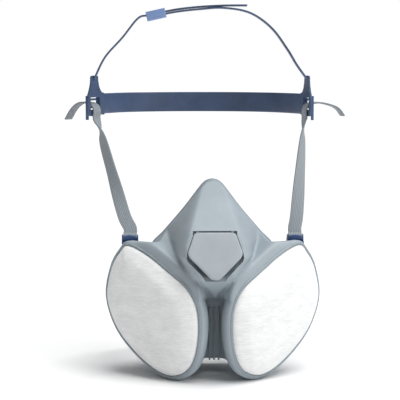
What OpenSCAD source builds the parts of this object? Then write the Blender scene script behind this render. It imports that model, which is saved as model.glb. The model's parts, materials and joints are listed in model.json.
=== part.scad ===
// Twin-filter half mask for spray painting, on a moulded head harness.
//
// +Z is up and -Y is forward. The origin is the middle of the face opening, where the
// wearer's face meets the seal. Everything of the right-hand side is drawn at +X, and the
// left-hand side is its mirror image, except the harness, which sits a little turned.

/* [Facepiece] */
// Height of the nose tip above the middle of the face opening
nose_top = 86; // [80:1:94]
// Depth of the chin edge below the middle of the face opening
chin_drop = 50; // [46:1:56]
// Width of the moulded shell across the cheeks
cheek_w = 104; // [94:1:112]
// How far the top of the valve hood stands in front of the face opening
crease_reach = 66; // [62:1:74]
// Height of the top of the valve hood above the middle of the face opening
crease_z = 51.6; // [48:0.5:56]
// Wall of the moulded shell
shell_wall = 2.4; // [2:0.1:3.2]
// Wall of the soft sealing lip
lip_wall = 1.5; // [1.2:0.1:2.2]

/* [Filters] */
// Width of a filter pad, measured in its own plane
filter_w = 84; // [72:1:92]
// Height of a filter pad
filter_h = 93; // [82:1:100]
// Angle of each filter, turned out from straight ahead
filter_yaw = 38.3; // [34:0.1:42]
// Depth of the tray behind a pad
filter_depth = 22; // [19:0.5:27]
// How far the middle of a pad stands out from its rim
pad_crown = 9.6; // [6:0.2:12]
// Width of the rim around a pad
rim_w = 2.4; // [1.8:0.1:3.2]
// Wall of a filter tray
tray_wall = 1.7; // [1.4:0.1:2.2]
// Thickness of the charcoal bed
carbon_t = 9.8; // [7:0.2:12]
// Thickness of the particle layer
particle_t = 2.4; // [1.6:0.2:3.2]

/* [Valves] */
// Bore of the exhalation port in the shell
exhale_d = 26.4; // [20:0.2:28]
// Bore of each inhalation port in the shell and tray
inhale_d = 26; // [20:0.5:31]
// Thickness of a valve disc
disc_t = 0.8; // [0.6:0.1:1.2]
// Travel of a valve disc off its seat
disc_travel = 1.2; // [0.8:0.1:1.5]
// Diameter of the stud that carries a valve disc
stud_d = 3; // [2.5:0.1:4]
// Width of the valve hood at its top edge
hood_top_w = 30; // [26:0.5:34]
// Width of the valve hood at its widest
hood_w = 38.6; // [36:0.2:44]
// Length of the valve hood from top edge to tip
hood_l = 35.5; // [34:0.5:40]
// Wall of the valve hood
hood_t = 1.6; // [1.4:0.1:2]

/* [Harness] */
// Width of the elastic webbing
strap_w = 10; // [8:0.5:12]
// Thickness of the elastic webbing
strap_t = 1.2; // [1:0.1:1.5]
// Height of the band around the back of the head
band_h = 16; // [13:0.5:20]
// Thickness of the band and its end plates
band_t = 1.8; // [1.4:0.1:2.4]
// Width of the two crown straps
crown_w = 9; // [7:0.5:11]
// Thickness of the two crown straps
crown_t = 1.3; // [1:0.1:1.6]
// Diameter of the bars that carry the webbing
bar_d = 2.4; // [2:0.1:3]

/* [Hidden] */

body_grey = "#9aa7ad";
seal_grey = "#8794a0";
rim_grey = "#7f8c92";
pad_white = "#f2f2f0";
charcoal = "#2b2d2f";
media_white = "#e6e8e6";
hard_grey = "#6f7b82";
valve_tint = "#c9b27a";
harness_blue = "#5a6c8c";
clip_blue = "#3f5f9a";
webbing_grey = "#8c9499";

fit = 0.3;             // clearance between pieces that move past each other
snug = 0.1;            // clearance round a piece that is pressed or glued in
ring_sides = 48;       // points round a lofted outline
$fn = 48;

// ---------------------------------------------------------------- curves and lofts

function spline_at(a, b, c, d, t) =
    0.5 * (2 * b + (c - a) * t + (2 * a - 5 * b + 4 * c - d) * t * t
    + (3 * b - a - 3 * c + d) * t * t * t);

// A smooth closed curve through the points p, cut into n points in all
function closed_curve(p, n) =
    let (m = len(p))
    [for (j = [0 : n - 1])
        let (s = j * m / n, i = floor(s))
        spline_at(p[(i + m - 1) % m], p[i], p[(i + 1) % m], p[(i + 2) % m], s - i)];

// A smooth open curve through the points p, with n steps between neighbours
function open_curve(p, n) =
    let (m = len(p))
    concat([for (i = [0 : m - 2]) for (k = [0 : n - 1])
        spline_at(p[max(i - 1, 0)], p[i], p[i + 1], p[min(i + 2, m - 1)], k / n)], [p[m - 1]]);

function sum(v) = [for (x = v) 1] * v;
function mean(p) = sum(p) / len(p);
function unit(v) = v / norm(v);

// Six times the volume inside a closed set of triangles; its sign tells which way they face
function six_volumes(p, faces) = sum([for (f = faces) p[f[0]] * cross(p[f[1]], p[f[2]])]);

// The solid through a row of rings; a looped row closes on itself like a tyre
module loft(rings, looped = false) {
    n = len(rings[0]);
    m = len(rings);
    points = concat([for (r = rings) each r], looped ? [] : [mean(rings[0]), mean(rings[m - 1])]);
    spans = looped ? m : m - 1;
    sides = [for (i = [0 : spans - 1]) for (j = [0 : n - 1])
        let (a = i * n, b = ((i + 1) % m) * n, k = (j + 1) % n)
        each [[a + j, a + k, b + k], [a + j, b + k, b + j]]];
    caps = looped ? [] : [for (j = [0 : n - 1])
        let (k = (j + 1) % n, last = (m - 1) * n)
        each [[m * n, k, j], [m * n + 1, last + j, last + k]]];
    faces = concat(sides, caps);
    outward = six_volumes(points, faces) > 0;
    polyhedron(points, outward ? [for (f = faces) [f[0], f[2], f[1]]] : faces, convexity = 8);
}

// A flat strap swept along a path; across gives the direction of its width at each point
module ribbon(path, across, width, thick) {
    last = len(path) - 1;
    loft([for (i = [0 : last])
        let (
            along = unit(path[min(i + 1, last)] - path[max(i - 1, 0)]),
            side = unit(across[i] - along * (across[i] * along)) * width / 2,
            face = cross(along, unit(side)) * thick / 2)
        [path[i] + side + face, path[i] - side + face, path[i] - side - face, path[i] + side - face]]);
}

module left_copy() {
    mirror([1, 0, 0]) children();
}

// ---------------------------------------------------------------- filter frame of reference

rim_gap = 12;          // from the middle plane to the inner edge of a pad
inner_edge_y = -76;    // how far forward that edge stands
pad_z = -6.6;          // height of the middle of a pad

// The pad outline at its nominal size, from its top corner towards the nose
nominal_w = 84;
nominal_h = 93;
PAD_OUTLINE = [[22, 46], [4, 40.5], [-15, 30], [-33, 18.5], [-42, 3], [-42, -20], [-35, -38],
    [-20, -46.2], [-3, -43.5], [18, -31], [34, -15], [42.3, 6], [38, 27.5], [30, 40]];

pad_x = rim_gap + filter_w / 2 * cos(filter_yaw);
pad_y = inner_edge_y + filter_w / 2 * sin(filter_yaw);
pad_ring = closed_curve([for (p = PAD_OUTLINE)
    [p[0] * filter_w / nominal_w, p[1] * filter_h / nominal_h]], ring_sides);

// Puts a point of the filter's own frame (across, up, out) into the mask's frame
function on_filter(u, v, out) = [pad_x + u * cos(filter_yaw) + out * sin(filter_yaw),
    pad_y + u * sin(filter_yaw) - out * cos(filter_yaw), pad_z + v];

// The pad outline grown by an edge, shifted outboard by slide, at a depth
function pad_edge(grow, slide = 0) = [for (p = pad_ring)
    [p[0] * (1 + grow / norm(p)) + slide, p[1] * (1 + grow / norm(p))]];
function filter_ring(grow, out, slide = 0) =
    [for (p = pad_edge(grow, slide)) on_filter(p[0], p[1], out)];

// Stands a child, drawn flat, in the filter's plane with its top at the given level
module in_filter_plane(out) {
    translate(on_filter(0, 0, out)) rotate([90, 0, filter_yaw]) children();
}

rim_back = -3;                                   // where the rim sits on the tray
cavity_floor = -(filter_depth - tray_wall);      // inner face of the tray's back
flange_t = 0.9;                                  // flange of a seat inside the tray
grid_t = 1.4;                                    // support grid
grid_floor = cavity_floor + flange_t + snug;
carbon_floor = grid_floor + grid_t + snug;
particle_floor = carbon_floor + carbon_t + snug;
pad_floor = particle_floor + particle_t + snug;
core_inset = 7.5;                                // charcoal and grid inside the outline
port_inset = 36;                                 // from the pad's inner edge to the inhalation port
port_u = port_inset - filter_w / 2;
port_v = -1.4;

// ---------------------------------------------------------------- facepiece

function soft_min(a, b, k) = -k * ln(exp(-a / k) + exp(-b / k));
function soft_max(a, b, k) = -soft_min(-a, -b, k);
function above(v, k) = soft_max(v, 0, k);

hood_tilt = 30.5;                                // lean of the valve hood from upright
seat_drop = 6.4;                                 // from the hood's face to the seat's flange
seat_sink = 0.8;                                 // how deep the flange is let into the shell
nose_slope = 1.5;                                // rise of the nose bridge
cup_middle = [0, 15];                            // centre of the shell's outline, in x and z
cup_shrink = 0.955;                              // inner outline as a share of the outer one
cheek_y = pad_y + filter_depth / cos(filter_yaw) - pad_x * tan(filter_yaw) + fit;
groove_half = 7;
groove_step = 9.15;                              // from the line of the trays' backs to the groove
groove_y = cheek_y + groove_step;
wing_z = 39;

function panel_half(z) = z > 34 ? min(20.8, 6.5 + (nose_top - z) * 0.33) : max(0, (z - 5) * 0.69);

// How far forward the outside of the shell stands at a point of the front view
function front_y(x, z) =
    let (
        beside = abs(x),
        nose = -crease_reach + nose_slope * (z - crease_z),
        valve = -crease_reach - tan(hood_tilt) * (crease_z - z) + (seat_drop - seat_sink) / cos(hood_tilt),
        under = -crease_reach - 10 + 0.93 * (20 - z),
        ridge = soft_max(soft_max(nose, valve, 1), under, 3) + 3.5 * above(beside - panel_half(z), 1),
        cheek = cheek_y + tan(filter_yaw) * beside + 3 * above(z - wing_z, 1),
        groove = groove_y - 4 * above(beside - groove_half, 0.7) - 3 * above(z, 1.5))
    soft_max(soft_min(ridge, cheek, 1), groove, 1);

// Edge of the shell where the seal begins, from the nose down the right side: x, y, z
half_edge = [[0, -11, nose_top], [6.4, -11, nose_top - 2.5], [21.5, -10, nose_top - 23],
    [0.345 * cheek_w, -8, nose_top - 40], [0.445 * cheek_w, -7, 34], [0.5 * cheek_w, -6, 12],
    [0.48 * cheek_w, -6, -12], [0.4 * cheek_w, -9, -34], [20, -13, 3 - chin_drop],
    [0, -15, -chin_drop]];
shell_edge = closed_curve(concat(half_edge,
    [for (i = [len(half_edge) - 2 : -1 : 1]) [-half_edge[i][0], half_edge[i][1], half_edge[i][2]]]),
    ring_sides);

// One ring of the shell's outline, shrunk towards its middle; a level of undef follows the front
function edge_point(p, share) = [p[0] * share, p[1], cup_middle[1] + (p[2] - cup_middle[1]) * share];
function front_ring(share, shrink, back) = [for (p = shell_edge)
    let (q = edge_point(p, share), r = edge_point(p, share * shrink))
    [r[0], front_y(q[0], q[2]) + back, r[2]]];
function edge_ring(share, back) = [for (p = shell_edge)
    let (q = edge_point(p, share)) [q[0], p[1] + back, q[2]]];

cup_shares = [0.1, 0.22, 0.34, 0.46, 0.57, 0.67, 0.76, 0.84, 0.91, 0.96, 0.985];

// Puts a child into the plane of the valve hood: x across, y up the hood, z out of its face
module in_hood_plane(out = 0) {
    translate([0, -crease_reach, crease_z]) rotate([90 - hood_tilt, 0, 0]) translate([0, 0, out])
        children();
}

valve_mid = -17;       // middle of the exhalation port, up the hood from its top edge
seat_flange = 1.1;     // flange of the exhalation seat
pin_d = 1.6;           // the hood's hinge pin
pin_up = 0.2;          // pin above the hood's top edge line
pin_in = -1.8;         // pin behind the hood's face
ear_t = 1.6;
ear_w = 3.2;
foot_l = 9;
hood_ear_x = hood_top_w / 2 - 3.4;               // inside of the ears that carry the pin
seat_rim = 2.4;        // width of a valve seat's ring
seat_tube = 4;         // how far the exhalation seat reaches in from the shell
rib_w = 1.2;
rib_pitch = 3.3;

module face_seal() {
    color(seal_grey)
    loft([for (c = [[cup_shrink, 0], [1, 0], [1.045, 3], [1.03, 8], [0.95, 11], [0.80, 10],
        [0.785, 10 - lip_wall], [0.93, 11 - 1.2 * lip_wall], [1.02 - 0.022 * lip_wall, 7],
        [1.02 - 0.03 * lip_wall, 3]])
        edge_ring(c[0], c[1])], looped = true);
}

module shell_cup() {
    loft(concat(
        [for (s = cup_shares) front_ring(s, 1, 0)],
        [edge_ring(1, 0), edge_ring(cup_shrink, 0)],
        [for (i = [len(cup_shares) - 1 : -1 : 0]) front_ring(cup_shares[i], cup_shrink, shell_wall)]));
}

module port_bore(d) {
    in_filter_plane(-filter_depth - 12)
        translate([port_u, port_v, 0]) cylinder(h = 24, d = d);
}

// Feet and ears of the exhalation seat that carry the hood's pin, grown for clearance
module ear_foot(side, grow) {
    translate([side * (hood_ear_x + ear_t / 2), -foot_l / 2, seat_flange / 2])
        cube([ear_t + 2 * grow, foot_l + 3.6 + 2 * grow, seat_flange + 2 * grow], center = true);
}

// Room for a strap clip and its tab in the edge of the shell
module clip_room() {
    side = clip_half + 6 + snug;
    below = 8;
    above = 4;
    translate(clip_at - [side, lug_front + snug, below])
        cube([side + clip_half + snug, lug_front + 9, below + above]);
}

module body_shell() {
    color(body_grey)
    difference() {
        union() {
            shell_cup();
            for (i = [-1 : 1])
                translate([i * rib_pitch - rib_w / 2, groove_y - 2.6, 8 - chin_drop])
                    cube([rib_w, 4, chin_drop - 14]);
        }
        in_hood_plane(-20) translate([0, valve_mid, 0]) cylinder(h = 30, d = exhale_d);
        in_hood_plane(-seat_drop) translate([0, valve_mid, 0])
            cylinder(h = 12, d = exhale_d + 2 * seat_rim + 2 * snug);
        for (side = [-1, 1])
            in_hood_plane(-seat_drop) ear_foot(side, snug);
        for (left = [false, true])
            mirror([left ? 1 : 0, 0, 0]) {
                port_bore(inhale_d);
                clip_room();
            }
    }
}

// ---------------------------------------------------------------- filters

// Steps of the tray's outside: edge growth, share of the depth, slide outboard
TRAY_STEPS = [[rim_w / 2, 0, 0], [0.2, 0.26, 1], [-2.5, 0.58, 2.5], [-5.6, 0.84, 4], [-8, 1, 5]];
tray_deep = filter_depth + rim_back;

// Growth and slide of the tray's inside at a level
function tray_share(out) = (rim_back - out) / (tray_deep - tray_wall);
function tray_grow(out) = lookup(tray_share(out), [for (s = TRAY_STEPS) [s[1], s[0]]]) - tray_wall;
function tray_slide(out) = lookup(tray_share(out), [for (s = TRAY_STEPS) [s[1], s[2]]]);
pad_room = 1.2;                                  // room round the foot of a pad in its tray
layer_room = 1.7;                                // room round the particle layer

clip_half = strap_w / 2 + 2.6;                   // half the width of a strap clip
clip_at = on_filter(0.383 * filter_w, 0.535 * filter_h, -14);
lug_drop = 4.6;                                  // from a clip's bar to the lug under it
lug_front = 7;
lug_back = 2.7;

module tray_cavity() {
    loft(concat([filter_ring(rim_w / 2 - tray_wall, rim_back + 1, 0)],
        [for (i = [0 : len(TRAY_STEPS) - 1])
            let (s = TRAY_STEPS[i])
            filter_ring(s[0] - tray_wall, rim_back - s[1] * (tray_deep - tray_wall), s[2])]));
}

module filter_tray() {
    color(body_grey)
    difference() {
        union() {
            loft([for (s = TRAY_STEPS) filter_ring(s[0], rim_back - s[1] * tray_deep, s[2])]);
            translate([clip_at[0] - clip_half, clip_at[1] - lug_front, clip_at[2] - lug_drop - 12])
                cube([2 * clip_half, lug_front + lug_back, 12]);
        }
        tray_cavity();
        port_bore(inhale_d);
    }
}

module filter_rim() {
    lip = tray_wall - rim_w / 2;
    color(rim_grey)
    loft([for (s = [[-lip, rim_back], [rim_w / 2, rim_back], [rim_w, -1.4], [rim_w - 0.3, 0.4],
        [rim_w / 2, 1.1], [0.2, 0.6], [-lip, -0.6]])
        filter_ring(s[0], s[1])], looped = true);
}

// Rises of the pad's dome: inset from the outline, share of the crown
PAD_STEPS = [[0, 0.1], [0.9, 0.3], [3, 0.5], [7, 0.68], [14, 0.85], [24, 0.96], [34, 1]];

module filter_pad() {
    edge = tray_wall - rim_w / 2 + snug;
    color(pad_white)
    loft(concat([filter_ring(tray_grow(pad_floor) - pad_room, pad_floor, tray_slide(pad_floor)), filter_ring(-edge, rim_back + snug)],
        [for (s = PAD_STEPS) filter_ring(-edge - s[0], s[1] * pad_crown)]));
}

module filter_slab(inset, slide, floor, thick) {
    in_filter_plane(floor) linear_extrude(thick) polygon(pad_edge(-inset, slide));
}

module particle_layer() {
    color(media_white)
    filter_slab(layer_room - tray_grow(particle_floor), tray_slide(particle_floor), particle_floor,
        particle_t);
}

module carbon_bed() {
    color(charcoal) filter_slab(core_inset + 2.2, 3.4, carbon_floor, carbon_t);
}

module support_grid() {
    bar = 1.6;
    pitch = 7;
    inset = core_inset + 3.2;
    color(hard_grey)
    in_filter_plane(grid_floor) linear_extrude(grid_t) {
        difference() {
            polygon(pad_edge(-inset, 4));
            polygon(pad_edge(-inset - 2.2, 4));
        }
        intersection() {
            polygon(pad_edge(-inset - 1, 4));
            for (i = [-5 : 5]) {
                translate([i * pitch, 0]) square([bar, filter_h], center = true);
                translate([0, i * pitch]) square([filter_w, bar], center = true);
            }
        }
    }
}

// ---------------------------------------------------------------- valves

inhale_tube = 4.6;     // how far an inhalation seat reaches past the tray's back
hub_t = 1.2;

// A ring with three spokes and a stud that a valve disc rides on, opening towards +Z
module valve_seat(bore, tube, flange_at, flange) {
    ring_d = bore - 2 * snug;
    head_z = hub_t + snug + disc_t + disc_travel + snug;
    translate([0, 0, -tube]) difference() {
        cylinder(h = tube, d = ring_d);
        translate([0, 0, -1]) cylinder(h = tube + 2, d = ring_d - 2 * seat_rim);
    }
    translate([0, 0, flange_at]) difference() {
        cylinder(h = flange, d = bore + 2 * seat_rim);
        translate([0, 0, -1]) cylinder(h = flange + 2, d = ring_d - 2 * seat_rim);
    }
    for (a = [90, 210, 330])
        rotate([0, 0, a]) translate([0, -0.8, -hub_t]) cube([ring_d / 2 - seat_rim / 2, 1.6, hub_t]);
    translate([0, 0, -hub_t]) cylinder(h = head_z, d = stud_d);
    translate([0, 0, head_z - hub_t]) cylinder(h = 0.8, d = stud_d + 1.6);
}

module valve_disc(bore) {
    difference() {
        cylinder(h = disc_t, d = bore - seat_rim);
        translate([0, 0, -1]) cylinder(h = disc_t + 2, d = stud_d + 2 * fit);
    }
}

// Inhalation: the seat opens towards the face, away from the filter
module at_port(out) {
    in_filter_plane(out) translate([port_u, port_v, 0]) mirror([0, 0, 1]) children();
}

module inhalation_seat() {
    tube = inhale_tube + tray_wall;
    color(hard_grey) at_port(-filter_depth - inhale_tube)
        valve_seat(inhale_d, tube, -tube - flange_t, flange_t);
}

module inhalation_valve() {
    color(valve_tint) at_port(-filter_depth - inhale_tube - snug) valve_disc(inhale_d);
}

seat_face = seat_flange - seat_drop;             // face of the exhalation seat under the hood

module exhalation_seat() {
    color(hard_grey) {
        in_hood_plane(seat_face) translate([0, valve_mid, 0])
            valve_seat(exhale_d, seat_tube + seat_flange, -seat_flange, seat_flange);
        for (side = [-1, 1])
            in_hood_plane() difference() {
                union() {
                    translate([side * (hood_ear_x + ear_t / 2), pin_up, (pin_in - seat_drop) / 2])
                        cube([ear_t, ear_w, pin_in + seat_drop], center = true);
                    translate([side * (hood_ear_x + ear_t / 2), pin_up, pin_in])
                        rotate([0, 90, 0]) cylinder(h = ear_t, d = ear_w, center = true);
                    translate([0, 0, -seat_drop]) ear_foot(side, 0);
                }
                translate([side * (hood_ear_x + ear_t / 2), pin_up, pin_in])
                    rotate([0, 90, 0]) cylinder(h = 4, d = pin_d + snug, center = true);
            }
    }
}

module exhalation_valve() {
    color(valve_tint)
    in_hood_plane(seat_face + snug) translate([0, valve_mid, 0]) valve_disc(exhale_d);
}

// Outline of the hood: flat top, flared shoulders and a blunt tip
function hood_outline(grow) = [
    [hood_top_w / 2 + grow, grow], [hood_w / 2 + grow, -0.42 * hood_l],
    [hood_w / 2 - 0.6 + grow, -0.52 * hood_l], [4.5 + grow / 2, -0.93 * hood_l - grow / 2],
    [1.6, -hood_l - grow], [-1.6, -hood_l - grow], [-4.5 - grow / 2, -0.93 * hood_l - grow / 2],
    [-hood_w / 2 + 0.6 - grow, -0.52 * hood_l], [-hood_w / 2 - grow, -0.42 * hood_l],
    [-hood_top_w / 2 - grow, grow]];

module valve_hood() {
    skirt = seat_drop - hood_t - fit - 0.5;
    color(body_grey)
    in_hood_plane(-hood_t) {
        linear_extrude(hood_t) difference() {
            polygon(hood_outline(0));
            for (side = [-1, 1])
                translate([side * (hood_ear_x + ear_t / 2), 0])
                    square([ear_t + 2 * fit, 2 * (ear_w / 2 + fit)], center = true);
        }
        translate([0, 0, -skirt]) linear_extrude(skirt + 0.1) difference() {
            polygon(hood_outline(0));
            polygon(hood_outline(-1.4));
            translate([-hood_w, -2 * hood_l - 0.5 * hood_l]) square([2 * hood_w, 2 * hood_l]);
            translate([-hood_ear_x - 3, -2.4]) square([2 * hood_ear_x + 6, 8]);
        }
        translate([-hood_ear_x + fit, pin_up, pin_in + hood_t]) rotate([0, 90, 0])
            cylinder(h = 2 * (hood_ear_x - fit), d = 2.8);
        translate([-hood_ear_x - ear_t + fit, pin_up, pin_in + hood_t]) rotate([0, 90, 0])
            cylinder(h = 2 * (hood_ear_x + ear_t - fit), d = pin_d);
    }
}

// ---------------------------------------------------------------- strap clips

loop_in = bar_d / 2 + fit;                       // inside of a webbing loop
loop_out = loop_in + strap_t;
neck_bar = [0, 5.8, -5];                         // second bar, from the first

module strap_clip() {
    cheek = 1.4;
    color(clip_blue)
    translate(clip_at) {
        translate([-clip_half, -lug_front, -lug_drop]) cube([2 * clip_half, lug_front + lug_back, 1.3]);
        translate([-clip_half, -lug_front + 1.8, -lug_drop]) cube([2 * clip_half, 1.2, lug_drop + 0.6]);
        translate([-clip_half - 6, -lug_front, -lug_drop]) linear_extrude(1.3)
            polygon([[0, 1.4], [6.5, 0], [6.5, 6], [3, 4.6]]);
        for (side = [-1, 1])
            translate([side > 0 ? clip_half - cheek : -clip_half, 0, 0]) rotate([90, 0, 90])
                linear_extrude(cheek)
                    polygon([[-lug_front + 1.8, 0.6], [-1.2, 2.4], [1.6, 2.2], [8, -3.4], [8, -6.4],
                        [5, -7.2], [lug_back, -lug_drop], [-lug_front + 1.8, -lug_drop]]);
        for (at = [[0, 0, 0], neck_bar])
            translate(at) rotate([0, 90, 0]) cylinder(h = 2 * clip_half - 1, d = bar_d, center = true);
    }
}

// ---------------------------------------------------------------- harness

band_z = 140;                                    // middle of the band
plate_l = 20;
slot_l = strap_w + 3;
plate_front_right = [75.5, 14];
plate_front_left = [-94, 22];
plate_turn_right = 102.5;                        // heading of a plate from front to back
plate_turn_left = 60.9;
rail_t = 1.8;

// Puts a child on an end plate: x back along the plate, y up, z out of its outer face
module on_plate(right) {
    p = right ? plate_front_right : plate_front_left;
    translate([p[0], p[1], band_z]) rotate([0, 0, right ? plate_turn_right : plate_turn_left])
        rotate([90, 0, 0]) translate([0, 0, right ? 0 : -band_t]) children();
}
// The same as a function: s back along the plate, m outwards from its inner face, z up
function plate_at(right, s, m, z) =
    let (
        p = right ? plate_front_right : plate_front_left,
        a = right ? plate_turn_right : plate_turn_left,
        out = right ? [sin(a), -cos(a)] : [-sin(a), cos(a)])
    [p[0] + s * cos(a) + m * out[0], p[1] + s * sin(a) + m * out[1], band_z + z];
function plate_along(right) = let (a = right ? plate_turn_right : plate_turn_left) [cos(a), sin(a), 0];

module end_plate(right) {
    low = -band_h / 2 - 1;
    on_plate(right) linear_extrude(band_t) difference() {
        polygon([[0, low + 1], [0, 6], [3.4, 10], [5, 17], [6, 20.6], [14.5, 20.6], [15.5, 16], [18, 10.4],
            [plate_l + 2, band_h / 2], [plate_l + 2, -band_h / 2], [plate_l - 3, low], [3, low]]);
        translate([plate_l / 2 - slot_l / 2, -4.2]) square([slot_l, 9.4]);
    }
}

band_route = [plate_at(false, plate_l, band_t / 2, 0), [-80, 58, band_z], [-63, 84, band_z],
    [-33, 98.5, band_z], [-5, 101, band_z], [23, 96, band_z], [47, 80, band_z], [63, 56, band_z],
    plate_at(true, plate_l, band_t / 2, 0)];

module head_band() {
    path = open_curve(band_route, 4);
    color(harness_blue) {
        ribbon(path, [for (p = path) [0, 0, 1]], band_h, band_t);
        end_plate(true);
        end_plate(false);
    }
}

module ladder_buckle(right) {
    out = right ? band_t : -rail_t;
    reach = slot_l / 2 + rail_t;
    color(clip_blue)
    on_plate(right) translate([plate_l / 2, 0, out]) {
        for (side = [-1, 1])
            translate([side > 0 ? slot_l / 2 + 0.1 : -reach - 0.1, -12, 0]) cube([rail_t, 18.5, rail_t]);
        for (y = [-2.4, 3.6])
            translate([0, y, rail_t / 2]) rotate([0, 90, 0])
                cylinder(h = 2 * reach - 0.6, d = rail_t - snug, center = true);
    }
}

// One side's webbing: a loop on the clip's bar, up to the plate, through its slot and out
function webbing_route(right) =
    let (
        side = right ? 1 : -1,
        bar = [side * clip_at[0], clip_at[1], clip_at[2]],
        under = plate_at(right, plate_l / 2, -1.3, -12),
        rise = unit([0, under[1] - bar[1], under[2] - bar[2]]))
    [bar + rise * (loop_out - 0.4), bar + rise * 7, bar * 0.82 + under * 0.18,
     bar * 0.5 + under * 0.5, bar * 0.15 + under * 0.85, under, plate_at(right, plate_l / 2, -1.3, -5),
     plate_at(right, plate_l / 2, 0.4, -0.9), plate_at(right, plate_l / 2, 4, 0.7),
     plate_at(right, plate_l / 2, 12, 1), plate_at(right, plate_l / 2, right ? 24 : 19, right ? -2.5 : -3.5),
     plate_at(right, plate_l / 2, right ? 30 : 25, right ? -9 : -12)];
webbing_turns = [0, 0, 0.1, 0.5, 0.92, 1, 1, 1, 1, 1, 1, 1];

module webbing(right) {
    side = right ? 1 : -1;
    steps = 3;
    route = webbing_route(right);
    turns = [for (i = [0 : len(route) - 1])
        let (t = webbing_turns[i], along = plate_along(right) * (right ? -1 : 1))
        [1, 0, 0] * (1 - t) + [along[0], along[1], 0] * t];
    color(webbing_grey) {
        ribbon(open_curve(route, steps), open_curve(turns, steps), strap_w, strap_t);
        translate([side * clip_at[0], clip_at[1], clip_at[2]]) webbing_loop();
    }
}

module webbing_loop() {
    rotate([0, 90, 0]) difference() {
        cylinder(h = strap_w, r = loop_out, center = true);
        cylinder(h = strap_w + 2, r = loop_in, center = true);
    }
}

// Crown straps: the left one runs on top through the loop, the right one ends under it
crown_over = crown_t + 0.5;
loop_mid = [-42, 30, 209.4];
loop_rise = 12.5;
loop_l = 15;
loop_wall = 1.6;
left_route = [plate_at(false, 10, band_t / 2, 19), [-81.5, 32.5, 176], [-68, 31, 191],
    [-56, 30, 205.6], loop_mid + [-6, 0, -1.3], loop_mid + [6, 0, 1.35], [-24, 30, 212.9],
    [-8, 30, 214.6], [10, 29, 215.5], [28, 28, 215.6]];
right_route = [plate_at(true, 10, band_t / 2, 19), [66, 22.5, 170], [58.5, 25, 182.5], [46.5, 27.5, 198.6],
    [30, 28.5, 210], [10, 29, 215.5 - crown_over], [-8, 30, 214.6 - crown_over],
    [-24, 30, 212.9 - crown_over], loop_mid + [6, 0, 1.35 - crown_over],
    loop_mid + [-4, 0, -0.9 - crown_over]];

module crown_strap_left() {
    path = open_curve(left_route, 4);
    color(harness_blue) difference() {
        ribbon(path, [for (p = path) [0, 1, 0]], crown_w, crown_t);
        for (x = [22, 12, 2])
            translate([x, 29, 208]) cylinder(h = 14, d = 3);
    }
}

module crown_strap_right() {
    path = open_curve(right_route, 4);
    color(harness_blue) ribbon(path, [for (p = path) [0, 1, 0]], crown_w, crown_t);
}

module crown_loop() {
    wide = crown_w + 1;
    tall = crown_over + crown_t + 0.8;
    color(clip_blue)
    translate(loop_mid - [0, 0, crown_over / 2]) rotate([0, -loop_rise, 0]) difference() {
        cube([loop_l, wide + 2 * loop_wall, tall + 2 * loop_wall], center = true);
        cube([loop_l + 2, wide, tall], center = true);
    }
}

// ---------------------------------------------------------------- neck strap

clasp_at = [0, 58, -38];
socket_l = 20;
socket_wall = 1.6;
tongue_l = 13;
tongue_t = 2.4;
clasp_h = strap_w + 5;
clasp_t = tongue_t + 2 * fit + 2 * socket_wall;

neck_start = clip_at + neck_bar;
neck_route = [neck_start + [0, 0, 0.4 - loop_out], neck_start + [1.5, 0.6, -6], neck_start + [10.5, 3, -15.2],
    neck_start + [15.5, 8.2, -30.2], neck_start + [16, 18.2, -45.2], neck_start + [7.5, 37.2, -59.2],
    neck_start * 0.5 + clasp_at * 0.5 + [18.2, 20.6, -31], clasp_at + [socket_l + 9, -2, 1],
    clasp_at + [socket_l + 3.5, 0, 0], clasp_at + [socket_l, 0, 0]];
neck_turns = [[1, 0, 0], [1, 0.1, 0], [0.6, 0.9, 0.2], [0.2, 1, 0.3], [0, 0.8, 0.7], [0, 0.3, 1],
    [0, 0, 1], [0, 0, 1], [0, 0, 1], [0, 0, 1]];

module neck_webbing() {
    steps = 3;
    color(webbing_grey) {
        ribbon(open_curve(neck_route, steps), open_curve(neck_turns, steps), strap_w, strap_t);
        translate(neck_start) webbing_loop();
    }
}

module neck_clasp_socket() {
    color(hard_grey) translate(clasp_at) difference() {
        translate([0, -clasp_t / 2, -clasp_h / 2]) cube([socket_l, clasp_t, clasp_h]);
        translate([-1, -tongue_t / 2 - fit, -strap_w / 2 - 0.5]) cube([tongue_l + 2, tongue_t + 2 * fit, strap_w + 1]);
    }
}

module neck_clasp_tongue() {
    color(hard_grey) translate(clasp_at) {
        translate([-socket_l, -clasp_t / 2, -clasp_h / 2]) cube([socket_l - 0.2, clasp_t, clasp_h]);
        translate([-1, -tongue_t / 2, -strap_w / 2]) cube([tongue_l + 1, tongue_t, strap_w]);
    }
}

// ---------------------------------------------------------------- nodes

face_seal();
body_shell();
filter_tray();  // right_filter_tray
left_copy() filter_tray();  // left_filter_tray
filter_rim();  // right_filter_rim
left_copy() filter_rim();  // left_filter_rim
filter_pad();  // right_filter_pad
left_copy() filter_pad();  // left_filter_pad
particle_layer();  // right_particle_layer
left_copy() particle_layer();  // left_particle_layer
carbon_bed();  // right_carbon_bed
left_copy() carbon_bed();  // left_carbon_bed
support_grid();  // right_support_grid
left_copy() support_grid();  // left_support_grid
inhalation_seat();  // right_inhalation_seat
left_copy() inhalation_seat();  // left_inhalation_seat
inhalation_valve();  // right_inhalation_valve
left_copy() inhalation_valve();  // left_inhalation_valve
exhalation_seat();
exhalation_valve();
valve_hood();
strap_clip();  // right_strap_clip
left_copy() strap_clip();  // left_strap_clip
head_band();
ladder_buckle(true);  // right_ladder_buckle
ladder_buckle(false);  // left_ladder_buckle
crown_strap_left();
crown_strap_right();
crown_loop();
webbing(true);  // right_webbing
webbing(false);  // left_webbing
neck_webbing();  // right_neck_webbing
left_copy() neck_webbing();  // left_neck_webbing
neck_clasp_socket();
neck_clasp_tongue();
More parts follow.
